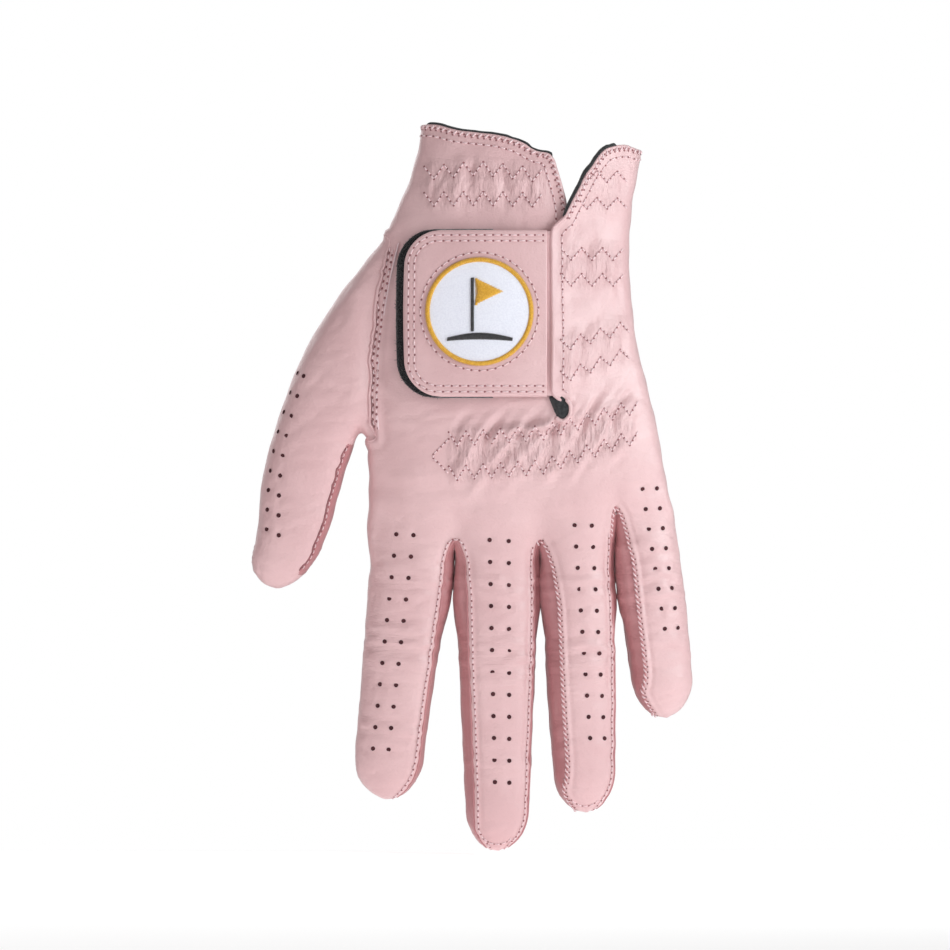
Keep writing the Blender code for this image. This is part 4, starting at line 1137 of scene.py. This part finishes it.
# ---------------------------------------------------------------- seams of the fingers
finger_seam, whip = Batch(), Batch()
finger_row = Seam(1.65, 0.17, (0.18, 0.20), (0.24, 9, 0.08))
ROPE_STEP = 5                    # points of the resampled seam from one whip stitch to the next
ROPE_LEAN = np.array([0, 0, -0.62 * MM])
for path in wall_seams:
    inner_way = unit(relax(unit(towards(path, TRANK)), 5, True))
    both = resample(np.hstack([relax(skin[path], 2, True), inner_way]), 0.28 * MM, True)
    line, way = both[:, :3], unit(both[:, 3:])
    out = unit(relax(np.array([nearest(p)[1] for p in line]), 6, True))
    along = tangents(line, True)
    fingers = [finger_at(p) for p in line]
    ends = np.array([smoothstep((p[2] - TIP_Z[name]) / (7 * MM)) for p, (name, _) in zip(line, fingers)])
    # Along each wall seam, a thin rod in the walls' deeper rose stands for the seam's edge and is painted shade
    # along the seam.
    tube(finger_seam, line + out * 0.02 * MM, (0.12 + 0.20 * ends) * MM, 8, True, normal=(0.13, -0.7, 0.7))
    # The seams of the ring and little fingers that face the thumb are whipped over like a rope.
    roped = np.array([name in ("ring", "little") and off < 0 and p[1] < -5 * MM and n[1] < 0.1
                      for p, n, (name, off) in zip(line, out, fingers)])
    for k in range(0, len(line) - 1, ROPE_STEP):
        if not roped[k]:
            continue
        size = 0.5 + 0.5 * ends[k]
        reach = 0.46 * MM * size
        across = np.cross(along[k], out[k])
        across = across if across[0] > 0 else -across
        stitch(whip, line[k] - across * reach - ROPE_LEAN, line[k] + across * reach + ROPE_LEAN, out[k],
               0.22 * MM, 0.40 * MM * size)
        spot = nearest(line[k] + across * (reach + 0.25 * MM) + ROPE_LEAN * 0.6)
        disc(finger_row.holes, *spot, 0.24 * MM, 9, 0.10 * MM)
    rope_tree = tree_of(line)
    row = relax(line + way * 1.40 * MM, 10, True)
    finger_row.sew([nearest(p) for p in resample(row, finger_row.pitch, True)], closed=True,
                   skip=lambda a, b: roped[rope_tree.find(a)[1]])
finger_row.thread = (0.17, 0.20)
for name in ("middle", "ring"):  # the rows run on round these two fingertips
    near, down, side = AXES[name][:3]
    mine = skin[points_on(name + "_tip")]
    along, across = (mine - near) @ down, (mine - near) @ side
    end = along.max()
    wide = across[np.abs(end - along - TIP_HEIGHT) < 0.8 * MM]
    middle, half = (wide.min() + wide.max()) / 2, (wide.max() - wide.min()) / 2
    turn = np.linspace(-0.62, 0.62, 24)
    arc = near + np.outer(end - TIP_HEIGHT + 9.3 * MM * np.cos(turn), down)
    arc += np.outer(middle + (half - 1.7 * MM) * np.sin(turn), side)
    finger_row.sew([front(p[0], p[2]) for p in resample(arc, finger_row.pitch)])
finger_seam.emit("finger_seam", wall_shade_mat, "wall_leather")
whip.emit("finger_whip_stitch", thread_mat, "thread")
finger_row.emit("finger_edge_stitch", "finger_needle_hole")

# ---------------------------------------------------------------- seams of the thumb
thumb_row, thumb_roll = Seam(1.9, 0.2, (0.19, 0.24), (0.34, 9, 0.10)), Batch()
line = resample(relax(skin[thumb_seam], 3, True), 0.8 * MM, True)
out = unit(relax(np.array([nearest(p)[1] for p in line]), 8, True))
away = np.cross(out, tangents(line, True))       # across the seam, away from the thumb
if ((line - skin[quads[kinds == THUMB]].mean(axis=(0, 1))) * away).sum() < 0:
    away = -away
calm_ends = smoothstep((seam_top[2] - line[:, 2]) / (6 * MM)) * smoothstep((line[:, 2] - seam_low[2]) / (6 * MM))
line = np.array([nearest(p)[0] for p in relax(line - away * calm_ends[:, None] * 2.2 * MM, 3, True)])
for off in (0.9, 2.4):           # the two rows' distances from the seam, in mm
    row = resample(relax(line + away * off * MM, 4, True), thumb_row.pitch, True)
    thumb_row.sew([nearest(p) for p in row], closed=True, skip=lambda a, b: (
        min(a[2], b[2]) < seam_low[2] + 2.5 * MM or max(a[2], b[2]) > seam_top[2] - 2 * MM))
ruffle = calm_ends * 0.10 * np.sin(np.arange(len(line)) * 1.9) * MM
ruffle *= smoothstep((seam_low[2] + 16 * MM - line[:, 2]) / (14 * MM))
roll = line + out * (0.1 * MM + ruffle[:, None] * 2 - 0.3 * MM * (1 - calm_ends[:, None])) + away * 0.25 * MM
tube(thumb_roll, resample(roll, 0.5 * MM, True), 0.36 * MM, 8, True, normal=(0.6, -0.7, 0.2))
thumb_row.emit("thumb_seam_stitch", "thumb_needle_hole")
thumb_roll.emit("thumb_seam_edge", leather_mat, "leather")

# The thumb's inner wall: its seam runs down just inside the thumb's edge, ruffled near the hand.
places = skin[point_kind == THUMB] - thumb_start
reach_along, reach_side = places @ thumb_down, places @ thumb_side
first = thumb_first + 1.5 * MM
inner_line = []
for step in np.arange(first, reach_along.max() - 4.5 * MM, 0.7 * MM):
    edge = reach_side[np.abs(reach_along - step) < 0.9 * MM].max()
    inset = 2.3 + 0.22 * math.sin(step / (0.62 * MM)) * float(smoothstep((first + 14 * MM - step) / (10 * MM)))
    place = thumb_start + thumb_down * step + thumb_side * (edge - inset * MM)
    inner_line.append(np.concatenate(front(place[0], place[2])))
inner_line = np.array(inner_line)
inner_seam_shade, inner_row = Batch(), Seam(1.7, 0.2, (0.16, 0.18), (0.26, 9, 0.08))
# The seam line is a dark tube in the needle holes' colour: painted shade in the fold of the seam.
tube(inner_seam_shade, inner_line[:, :3] + inner_line[:, 3:] * 0.02 * MM, 0.24 * MM, 8, normal=(0.9, -0.2, 0.3))
row = resample(inner_line, inner_row.pitch)[:, :3] + thumb_side * 0.75 * MM
inner_row.sew([nearest(p) for p in row])
inner_seam_shade.emit("thumb_inner_seam", needle_shade_mat, "leather")
inner_row.emit("thumb_inner_stitch", "thumb_inner_hole")

# ---------------------------------------------------------------- zigzag rows over the elastics
zigzag = Seam(1.35, 0.15, (0.20, 0.20), (0.27, 9, 0.08))
for gather in GATHERS:
    _, _, first, last = band(gather, 0)
    start, end = first - gather.widen[0] * MM, last + gather.widen[1] * MM
    count = int(round((end - start) / (gather.pitch * MM / 2)))
    xs = np.linspace(start, end, count + 1)
    teeth = np.where(np.arange(count + 1) % 2, -1, 1) * gather.zig / 2 * MM
    for row in band(gather, xs)[:2]:
        corner = list(zip(xs, row + teeth))
        for (x0, z0), (x1, z1) in zip(corner, corner[1:]):
            zigzag.sew([front(x0 + (x1 - x0) * t, z0 + (z1 - z0) * t) for t in np.linspace(0, 1, 4)])
upper, lower, first, _ = band(GATHERS[-1], -1)       # the knuckle rows meet in a point at the thumb's side
point = np.array([(first - 1.0 * MM, upper), (first - 5.4 * MM, (upper + lower) / 2), (first - 1.0 * MM, lower)])
zigzag.sew([front(px, pz) for px, pz in resample(point, zigzag.pitch)])
zigzag.emit("zigzag_stitch", "zigzag_needle_hole")

holes = Batch()
for spot in punches:
    disc(holes, *front(spot[0], spot[2]), 0.58 * MM, 14, 0.12 * MM)
holes.emit("punched_hole", hole_mat, "leather")

# ---------------------------------------------------------------- edges of the cuff and the slit
rim, rim_normal = skin[open_edge], normals[open_edge]
into = towards(open_edge)
for way in (tangents(rim, True), rim_normal):
    into -= (into * way).sum(axis=1)[:, None] * way
into = unit(relax(unit(into), 4, True))
edge_roll = Batch()
tube(edge_roll, rim + into * 0.25 * MM - rim_normal * 0.35 * MM, 0.50 * MM, 8, True, normal=(0.05, -0.9, 0.4))
edge_roll.emit("cuff_edge_roll", leather_mat, "leather")


def longest_run(flags):
    """The indices of the longest run of true values round a closed list."""
    count, found = len(flags), []
    for start in (k for k in range(count) if flags[k] and not flags[k - 1]):
        run = []
        while len(run) < count and flags[(start + len(run)) % count]:
            run.append((start + len(run)) % count)
        found.append(run)
    return max(found, key=len)


# Section of the knit binding folded over the edge: distance into the leather and height over it.
KNIT = np.array([(5.0, -0.95), (2.5, -0.9), (0.3, -0.8), (-0.10, -0.3), (-0.35, -0.1), (-0.65, -0.2), (-0.85, -0.7),
                 (-0.75, -1.2), (-0.3, -1.5), (2.5, -1.55), (5.0, -1.5)]) * MM
for node in ("cuff_binding", "flap_binding"):
    low, high = corners(node)
    inside = np.all((rim > low - 1.6 * MM) & (rim < high + 1.6 * MM), axis=1)
    strip = longest_run(inside & (rim_normal[:, 1] < 0.45))
    line, side, out = rim[strip], into[strip], rim_normal[strip]
    count, size = len(strip), len(KNIT)
    fade = smoothstep(np.minimum(np.arange(count), count - 1 - np.arange(count)) / 3.0)
    points = []
    for k in range(count):
        proud = np.where(KNIT[:, :1] < 0, KNIT[:, :1] * (0.25 + 0.75 * fade[k]), KNIT[:, :1])
        points.append(line[k] + side[k] * proud + out[k] * KNIT[:, 1:])
    faces = ring_faces(count, size)
    if np.cross(side[0], out[0]) @ (line[1] - line[0]) >= 0:
        faces = [face[::-1] for face in faces]
    faces += [list(range(size)), [i + (count - 1) * size for i in range(size)]]
    batch = Batch()
    batch.add(np.vstack(points), faces)
    batch.emit(node + "_knit", knit_mat, "dark_knit", "hand", node)

edge_row, rope = Seam(2.0, 0.16, (0.18, 0.20), (0.26, 9, 0.08)), Batch()
edge_row.sew([nearest(p) for p in resample(rim + into * 2.9 * MM, edge_row.pitch, True)], closed=True,
             skip=lambda a, b: np.linalg.norm(b - a) > 4 * MM or min(a[2], b[2]) < tab_low[2] + 0.5 * MM)
both = resample(np.hstack([rim, into, rim_normal]), 1.65 * MM, True)
for place, way, normal in zip(both[:, :3], both[:, 3:6], both[:, 6:]):
    if place[2] < tab_high[2] + 4 * MM or normal[1] > 0.2:
        continue
    turn = np.cross(way, normal)
    stitch(rope, place + way * 0.15 * MM - turn * 0.35 * MM, place + way * 1.15 * MM + turn * 0.35 * MM, normal,
           0.27 * MM, 0.26 * MM)
    for hole in (place + way * 1.25 * MM + turn * 0.5 * MM, place + way * 0.7 * MM + turn * 0.85 * MM):
        disc(edge_row.holes, *nearest(hole), 0.27 * MM, 9, 0.10 * MM)
edge_row.emit("cuff_edge_stitch", "cuff_needle_hole")
rope.emit("cuff_rope_stitch", thread_mat, "thread")


# ---------------------------------------------------------------- the closure tab
tab_height = tab_high[2] - tab_low[2]
TAB_CORNER = 0.212 * tab_height
TAB_ROWS = (1.3 * MM, 2.8 * MM)  # the two rows of stitches, from the tab's edge


def fitted(node, pick):
    """A smooth y(x, z) through a thin node's outer (pick = min) or inner (pick = max) face."""
    # At each x, z of the node there are an outer and an inner point.
    groups = {}
    for p in cad_points(node):
        groups.setdefault((round(p[0], 5), round(p[2], 5)), []).append(p)
    points = np.array([pick(g, key=lambda q: q[1]) for g in groups.values()])
    middle, size = points.mean(axis=0), points.std(axis=0)

    def terms(x, z):
        x, z = (x - middle[0]) / size[0], (z - middle[2]) / size[2]
        return np.stack([x ** i * z ** j for i in range(6) for j in range(4) if i + j < 7], axis=-1)

    weights = np.linalg.lstsq(terms(points[:, 0], points[:, 2]), points[:, 1], rcond=None)[0]
    return lambda x, z: terms(np.asarray(x, float), np.asarray(z, float)) @ weights


tab_y, tab_inner_y = fitted("tab_leather", min), fitted("tab_leather", max)
loop_y, loop_inner_y = fitted("loop_patch", min), fitted("loop_patch", max)
hook_y = fitted("tab_hook_patch", max)


def tab_edge(z, grow=0.0):
    """x of the tab's free edge at height z, for an outline that is larger by grow."""
    low, high = tab_low[2] - grow, tab_high[2] + grow
    corner = TAB_CORNER + grow
    near = np.minimum(high - z, z - low)
    bow = 0.7 * MM * np.sin(math.pi * (z - low) / (high - low))
    round_off = corner - np.sqrt(np.maximum(corner ** 2 - np.maximum(corner - near, 0) ** 2, 0))
    return tab_low[0] - grow + 0.7 * MM - bow + round_off


def tab_sheet(grow, right, columns, rows):
    """x and z over the tab's outline, and the distance of each point to its free edges."""
    turn = np.linspace(-1, 1, rows)
    spread = np.sin(turn * math.pi / 2) * 0.35 + turn * 0.65
    z = (tab_low[2] + tab_high[2]) / 2 + spread * (tab_height / 2 + grow)
    left = tab_edge(z, grow)
    x = left[:, None] + (right - left[:, None]) * np.linspace(0, 1, columns)
    z = np.repeat(z[:, None], columns, axis=1)
    corner = TAB_CORNER + grow
    low, high = tab_low[2] - grow, tab_high[2] + grow
    corner_x = tab_low[0] - grow + corner
    corner_z = np.clip(z, low + corner, high - corner)
    radial = corner - np.sqrt((np.minimum(x - corner_x, 0)) ** 2 + (z - corner_z) ** 2)
    edge = np.where(x < corner_x, radial, np.minimum(high - z, z - low))
    return x, z, np.maximum(edge, 0)


def rounded(edge, radius):
    """The rise of a plump edge, from 0 at the edge to 1 at this distance from it."""
    return np.sqrt(np.maximum(1 - (1 - np.clip(edge / radius, 0, 1)) ** 2, 0))


def sheet(outer, inner):
    """A batch with one closed sheet between two grids of points."""
    rows, columns = outer.shape[:2]
    size = rows * columns
    grid = np.arange(size).reshape(rows, columns)
    quad = grid_faces(rows, columns)
    faces = quad.tolist() + (quad[:, ::-1] + size).tolist()
    ring = [*grid[0], *grid[1:, -1], *grid[-1, -2::-1], *grid[-2:0:-1, 0]]
    for a, b in zip(ring, ring[1:] + ring[:1]):
        faces.append([int(b), int(a), int(a) + size, int(b) + size])
    batch = Batch()
    batch.add(np.vstack([outer.reshape(-1, 3), inner.reshape(-1, 3)]), faces)
    return batch


x, z, edge = tab_sheet(0, tab_high[0], 96, 108)
flat = stacked(x, tab_y(x, z), z).reshape(-1, 3)
relief = 0.10 * waves(flat, 15 * MM, 21) + 0.05 * waves(flat, 5 * MM, 22)
relief = relief.reshape(x.shape) * MM * smoothstep(edge / (2 * MM))
for off in TAB_ROWS:             # the stitches lie in shallow channels
    relief -= 0.16 * MM * bump((edge - off) / (0.75 * MM))
back = tab_inner_y(x, z)
outer = stacked(x, back - 0.35 * MM - (back - tab_y(x, z) + 0.1 * MM) * rounded(edge, 1.1 * MM) - relief, z)
sheet(outer, stacked(x, back, z)).emit("tab_cover", leather_mat, "leather", "tab", "tab_leather")
tab_surface = surface_of(outer.reshape(-1, 3), grid_faces(*outer.shape[:2]))


def on_tab(x, z):
    """Point of the tab's outer face at x, z, and its normal."""
    hit, normal, _, _ = tab_surface.ray_cast(Vector((x, AHEAD, z)), Vector((0, 1, 0)))
    if hit is None:
        hit, normal, _, _ = tab_surface.find_nearest(Vector((x, float(tab_y(x, z)), z)))
    normal = np.array(normal)
    return np.array(hit), -normal if normal[1] > 0 else normal


def tab_outline(inset, step):
    """A line along the tab's top, round its free edge and back along its lower edge, inset from the edge."""
    corner = TAB_CORNER - inset
    corner_x = tab_low[0] + TAB_CORNER
    upper, lower = tab_high[2] - TAB_CORNER, tab_low[2] + TAB_CORNER
    turn = np.linspace(0, math.pi / 2, 12)
    top = [(tab_high[0] - 1.0 * MM, tab_high[2] - inset)]
    top += [(corner_x - corner * math.sin(a), upper + corner * math.cos(a)) for a in turn]
    side = [(float(tab_edge(v)) + inset, v) for v in np.linspace(upper, lower, 16)[1:-1]]
    low = [(corner_x - corner * math.cos(a), lower - corner * math.sin(a)) for a in turn]
    low += [(tab_high[0] - 1.0 * MM, tab_low[2] + inset)]
    return resample(np.array(top + side + low), step)


# The strip the tab hangs from runs on under the flap.
STRIP = 4.2 * MM
x, z = np.meshgrid(np.linspace(tab_high[0] - 0.4 * MM, tab_high[0] + STRIP, 8),
                   np.linspace(tab_low[2] + 0.3 * MM, tab_high[2] - 0.3 * MM, 30))
slope = (np.clip(x - tab_high[0], 0, 1) / STRIP) ** 2
level = tab_y(np.minimum(x, tab_high[0] - 0.5 * MM), z) + 0.12 * MM + slope * 0.9 * MM
strip = sheet(stacked(x, level, z), stacked(x, level + 0.6 * MM, z))
strip.emit("tab_root_strip", leather_mat, "leather", "hand")

tab_row = Seam(2.15, 0.14, (0.19, 0.17), (0.27, 10, 0.05))
for inset in TAB_ROWS:
    spots = [on_tab(px, pz) for px, pz in tab_outline(inset, tab_row.pitch)]
    tab_row.sew(spots)
    tab_row.prick(*spots[-1])
tab_row.emit("tab_seam_stitch", "tab_needle_hole", "tab", "tab_edge_thread")

# Hook tape inside the tab: rows of small hooks on a sheet.
HOOK = np.array([(0, 0, 0), (0, 0.22, 0.04), (0, 0.40, 0.16), (0, 0.38, 0.34), (0, 0.26, 0.40)]) * MM
HOOK_PITCH = 1.5 * MM
HOOK_INSET = 1.5 * MM            # from the tab's edge to the tape's
x, z, _ = tab_sheet(-HOOK_INSET, corners("tab_hook_patch")[1][0], 40, 46)
hooks = sheet(stacked(x, tab_inner_y(x, z) - 0.05 * MM, z), stacked(x, hook_y(x, z), z))
for pz in np.arange(z.min() + HOOK_PITCH, z.max() - 1 * MM, HOOK_PITCH):
    for px in np.arange(x.min() + HOOK_PITCH, x.max() - 0.8 * MM, HOOK_PITCH):
        if px >= tab_edge(pz, -HOOK_INSET) + 1.0 * MM:
            tube(hooks, np.array([px, float(hook_y(px, pz)), pz]) + HOOK, 0.09 * MM, 4, normal=(1, 0, 0))
hooks.emit("tab_hooks", hook_mat, "hook_tape", "tab", "tab_hook_patch")

# The loop patch on the hand shows as a fuzzy band round the tab's free edge.
LOOPS, PILE_GROW, PILE_SHIFT = 2600, 0.3 * MM, 1.6 * MM      # the pile's outline is the tab's, larger and shifted
LOOP = np.array([(0, 0, 0), (0.3, -0.6, 0.3), (0.8, -0.85, 0.8), (1.4, -0.5, 1.4)])
loop_right = corners("loop_patch")[1][0]
x, z, edge = tab_sheet(PILE_GROW, loop_right, 60, 80)
x = x - PILE_SHIFT
back = loop_inner_y(x, z)
face_y = back - 0.2 * MM + (loop_y(x, z) - back) * rounded(edge, 0.9 * MM)
pile = sheet(stacked(x, face_y, z), stacked(x, back + 0.4 * MM, z))
rng = np.random.default_rng(8)
loop_z = rng.uniform(tab_low[2] - 0.2 * MM, tab_high[2] + 0.2 * MM, LOOPS)
loop_x = tab_edge(loop_z, PILE_GROW) + rng.uniform(-PILE_SHIFT, 1.4 * MM, LOOPS)
for px, pz in zip(loop_x, loop_z):
    if not np.isfinite(px) or px > loop_right:
        continue
    root = np.array([px, float(loop_y(px, pz)) + 0.15 * MM, pz])
    lean = rng.normal(size=3) * [0.32, 0.10, 0.32]
    reach = rng.uniform(0.35, 0.75)
    line = root + LOOP * (lean * [1, 0, 1] + [0, 1, 0]) * reach * MM
    tube(pile, line, 0.055 * MM, 3, normal=(0.3, -0.2, 0.9))
pile.emit("loop_pile", pile_mat, "loop_pile", "hand", "loop_patch")

# ---------------------------------------------------------------- the keyhole at the slit's lower end
low, high = corners("keyhole_patch")
key_x, key_z = (low[0] + high[0]) / 2 - 0.8 * MM, tab_low[2] - 3.0 * MM
outline = np.array([(-3.2, 3.2), (0.3, 3.3), (2.5, 1.0), (2.4, -1.6), (0.8, -3.2), (-0.9, -2.6), (-1.8, -0.4)]) * MM
outline = relax(resample(outline, 0.35 * MM, True), 6, True)
ground = np.array([front(key_x + u, key_z + v)[0] for u, v in outline])
ground = ground[ground[:, 1] < np.median(ground[:, 1]) + 1.0 * MM]
terms = np.column_stack([ground[:, 0], ground[:, 2], np.ones(len(ground))])
tilt = np.linalg.lstsq(terms, ground[:, 1], rcond=None)[0]
tilt[2] += np.percentile(ground[:, 1] - terms @ tilt, 15)


def over_key(u, v, lift):
    """A point over the keyhole, on a plane through the leather round it."""
    x, z = key_x + u, key_z + v
    return np.array([x, x * tilt[0] + z * tilt[1] + tilt[2] - lift, z])


pad, points = Batch(), []
rings = np.linspace(0.04, 1, 9)
for share in rings:
    points += [over_key(u, v, (0.75 - 0.75 * share ** 4) * MM) for u, v in outline * share]
faces = [[a, d, c, b] for a, b, c, d in ring_faces(len(rings), len(outline))]
pad.add(points, faces + [list(range(len(outline)))])
pad.emit("keyhole_pad", knit_mat, "dark_knit", "hand")
lip_line = [over_key(u * 1.05, v * 1.05, 0.35 * MM) for u, v in outline if u > -1.2 * MM and v < 2.4 * MM]
start = int(np.argmax([np.linalg.norm(lip_line[k] - lip_line[k - 1]) for k in range(len(lip_line))]))
lip_roll = Batch()
tube(lip_roll, lip_line[start:] + lip_line[:start], 0.50 * MM, 8, normal=(0.02, -1, 0.03))
lip_roll.emit("keyhole_lip", leather_mat, "leather", "hand")

# ---------------------------------------------------------------- the badge: a golf flag over the ground
badge_low, badge_high = corners("tab_badge_border")
badge = (badge_low + badge_high) / 2
badge_radius = (badge_high[0] - badge_low[0]) / 2
BORDER = 1.3 * MM
BADGE_LIFT = 0.80 * MM


def on_badge(x, z):
    return stacked(x, tab_y(x, z) - BADGE_LIFT, z)


rings, sides = 26, 120
radius = np.linspace(0.02, 1, rings) * (badge_radius - BORDER * 0.5)
turn = np.linspace(0, 2 * math.pi, sides, endpoint=False)
top = on_badge(badge[0] + radius[:, None] * np.sin(turn), badge[2] + radius[:, None] * np.cos(turn))
batch = Batch()
batch.add(top.reshape(-1, 3), ring_faces(rings, sides) + [list(range(sides))[::-1]])
batch.emit("badge_twill", twill_mat, "twill", "tab", "tab_badge_twill")

batch = Batch()
count = 250                      # satin stitches round the border
span = np.linspace(badge_radius - BORDER, badge_radius, 6)
hump = np.sin(np.linspace(0, math.pi, 6)) * 0.5 * MM - 0.15 * MM
for k in range(count):
    a = 2 * math.pi * k / count
    line = on_badge(badge[0] + math.sin(a) * span, badge[2] + math.cos(a) * span)
    line[:, 1] -= hump
    tube(batch, line, 0.205 * MM, 5)
batch.emit("badge_border", gold_mat, "gold_embroidery", "tab", "tab_badge_border")


def satin(name, rows, material, slot):
    """Raised satin stitches, each from one side of a shape to the other."""
    batch = Batch()
    for (x0, z0), (x1, z1) in rows:
        share = np.linspace(0, 1, 7)
        line = on_badge(x0 + (x1 - x0) * share, z0 + (z1 - z0) * share)
        line[:, 1] -= (np.sin(share * math.pi) ** 0.5 * 0.35 - 0.05) * MM
        tube(batch, line, 0.19 * MM, 5)
    batch.emit(name, material, slot, "tab", "tab_" + name)


SATIN_PITCH = 0.3 * MM
low, high = corners("tab_badge_pole")
satin("badge_pole", [((low[0], v), (high[0], v + 0.1 * MM)) for v in np.arange(low[2], high[2], SATIN_PITCH)],
      black_mat, "dark_embroidery")
low, high = corners("tab_badge_pennant")
half = (high[2] - low[2]) / 2
rows = []
for v in np.arange(low[2], high[2], SATIN_PITCH):
    share = 1 - abs(v - (low[2] + half)) / half
    rows.append(((low[0], v), (low[0] + (high[0] - low[0]) * max(share, 0.08), v)))
satin("badge_pennant", rows, gold_mat, "gold_embroidery")
low, high = corners("tab_badge_ground")
rows = []
for h in np.arange(low[0] + 0.2 * MM, high[0], SATIN_PITCH):
    share = math.cos((h - badge[0]) / ((high[0] - low[0]) / 2) * 1.45)
    middle = low[2] + (high[2] - low[2]) * (0.15 + 0.55 * share)
    thick = (0.35 + 0.55 * share) * MM
    rows.append(((h, middle - thick), (h + 0.1 * MM, middle + thick)))
satin("badge_ground", rows, black_mat, "dark_embroidery")

ring_row = Seam(2.05, 0.14, (0.18, 0.16), (0.27, 10, 0.05))
ring_radius = badge_radius + 1.2 * MM
count = int(2 * math.pi * ring_radius / ring_row.pitch)
turn = [2 * math.pi * k / count for k in range(count)]
spots = [on_tab(badge[0] + ring_radius * math.sin(a), badge[2] + ring_radius * math.cos(a)) for a in turn]
ring_row.sew(spots, closed=True)
ring_row.emit("badge_ring_stitch", "badge_needle_hole", "tab", "tab_badge_thread")

# ---------------------------------------------------------------- CAD pieces that keep their shape
for node in frame["nodes"]:
    if node.endswith("_elastic") or node == "keyhole_patch":
        slots = frame["nodes"][node].data.materials
        slots.clear()
        slots.append(knit_mat if node == "keyhole_patch" else elastic_mat)

# ---------------------------------------------------------------- stage, light and camera
low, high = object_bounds()
centre = (low + high) / 2
tall = high.z - low.z

FLOOR_COLOR = (0.86, 0.86, 0.86, 1)
floor_mat, _, shader = nodes_of("floor")
for socket, value in (("Base Color", FLOOR_COLOR), ("Roughness", 0.9), ("Emission Color", FLOOR_COLOR),
                      ("Emission Strength", 0.66)):
    shader.inputs[socket].default_value = value
reach, ground, far = 1.6, low.z - 0.001, 0.03
mesh = bpy.data.meshes.new("floor")
mesh.from_pydata([(-reach, -reach, ground), (reach, -reach, ground), (reach, far, ground), (-reach, far, ground)],
                 [], [(0, 1, 2, 3)])
mesh.materials.append(floor_mat)
floor = bpy.data.objects.new("floor", mesh)
bpy.context.scene.collection.objects.link(floor)

# The object is lit by a weak warm sky, and the camera sees plain white behind it.
world = bpy.data.worlds.new("world")
bpy.context.scene.world = world
world.use_nodes = True
tree = world.node_tree
sky, seen = tree.nodes["Background"], tree.nodes.new("ShaderNodeBackground")
for node, color, strength in ((sky, (1.0, 0.97, 0.97, 1), 0.225), (seen, (1, 1, 1, 1), 1.0)):
    node.inputs["Color"].default_value = color
    node.inputs["Strength"].default_value = strength
rays = tree.nodes.new("ShaderNodeLightPath")
chooser = tree.nodes.new("ShaderNodeMixShader")
link(tree, rays.outputs["Is Camera Ray"], chooser.inputs["Fac"])
link(tree, sky.outputs["Background"], chooser.inputs[1])
link(tree, seen.outputs["Background"], chooser.inputs[2])
link(tree, chooser.outputs["Shader"], tree.nodes["World Output"].inputs["Surface"])


def area(name, place, size, power, color=(1, 1, 1)):
    """A square light that looks at the middle of the glove."""
    light = bpy.data.lights.new(name, "AREA")
    light.size = size
    light.energy = power
    light.color = color
    obj = bpy.data.objects.new(name, light)
    obj.location = place
    obj.rotation_euler = (centre - Vector(place)).to_track_quat("-Z", "Y").to_euler()
    bpy.context.scene.collection.objects.link(obj)


area("key", (0.46, -0.335, 0.14), 0.26, 1.80, (0.90, 1.0, 1.0))
area("fill", (-0.75, -0.95, 0.3), 0.9, 1.25, (1.0, 0.96, 0.96))
area("top", (0.25, -0.1, 0.9), 0.5, 1.6)
area("rear", (-0.4, 0.9, 0.5), 0.9, 4.0)

DISTANCE, SENSOR = 4.0, 36
VIEW, SHIFT_X, SHIFT_Z = 1.307, 0.004, 0.016     # the picture's width and the glove's place in it, in glove heights
camera_data = bpy.data.cameras.new("camera")
camera_data.sensor_width = SENSOR
camera_data.lens = SENSOR * DISTANCE / (VIEW * tall)
camera = bpy.data.objects.new("camera", camera_data)
camera.location = (centre.x + SHIFT_X * tall, -DISTANCE, centre.z + SHIFT_Z * tall)
camera.rotation_euler = (math.pi / 2, 0, 0)
bpy.context.scene.collection.objects.link(camera)
bpy.context.scene.camera = camera
bpy.context.scene.view_settings.view_transform = "Standard"
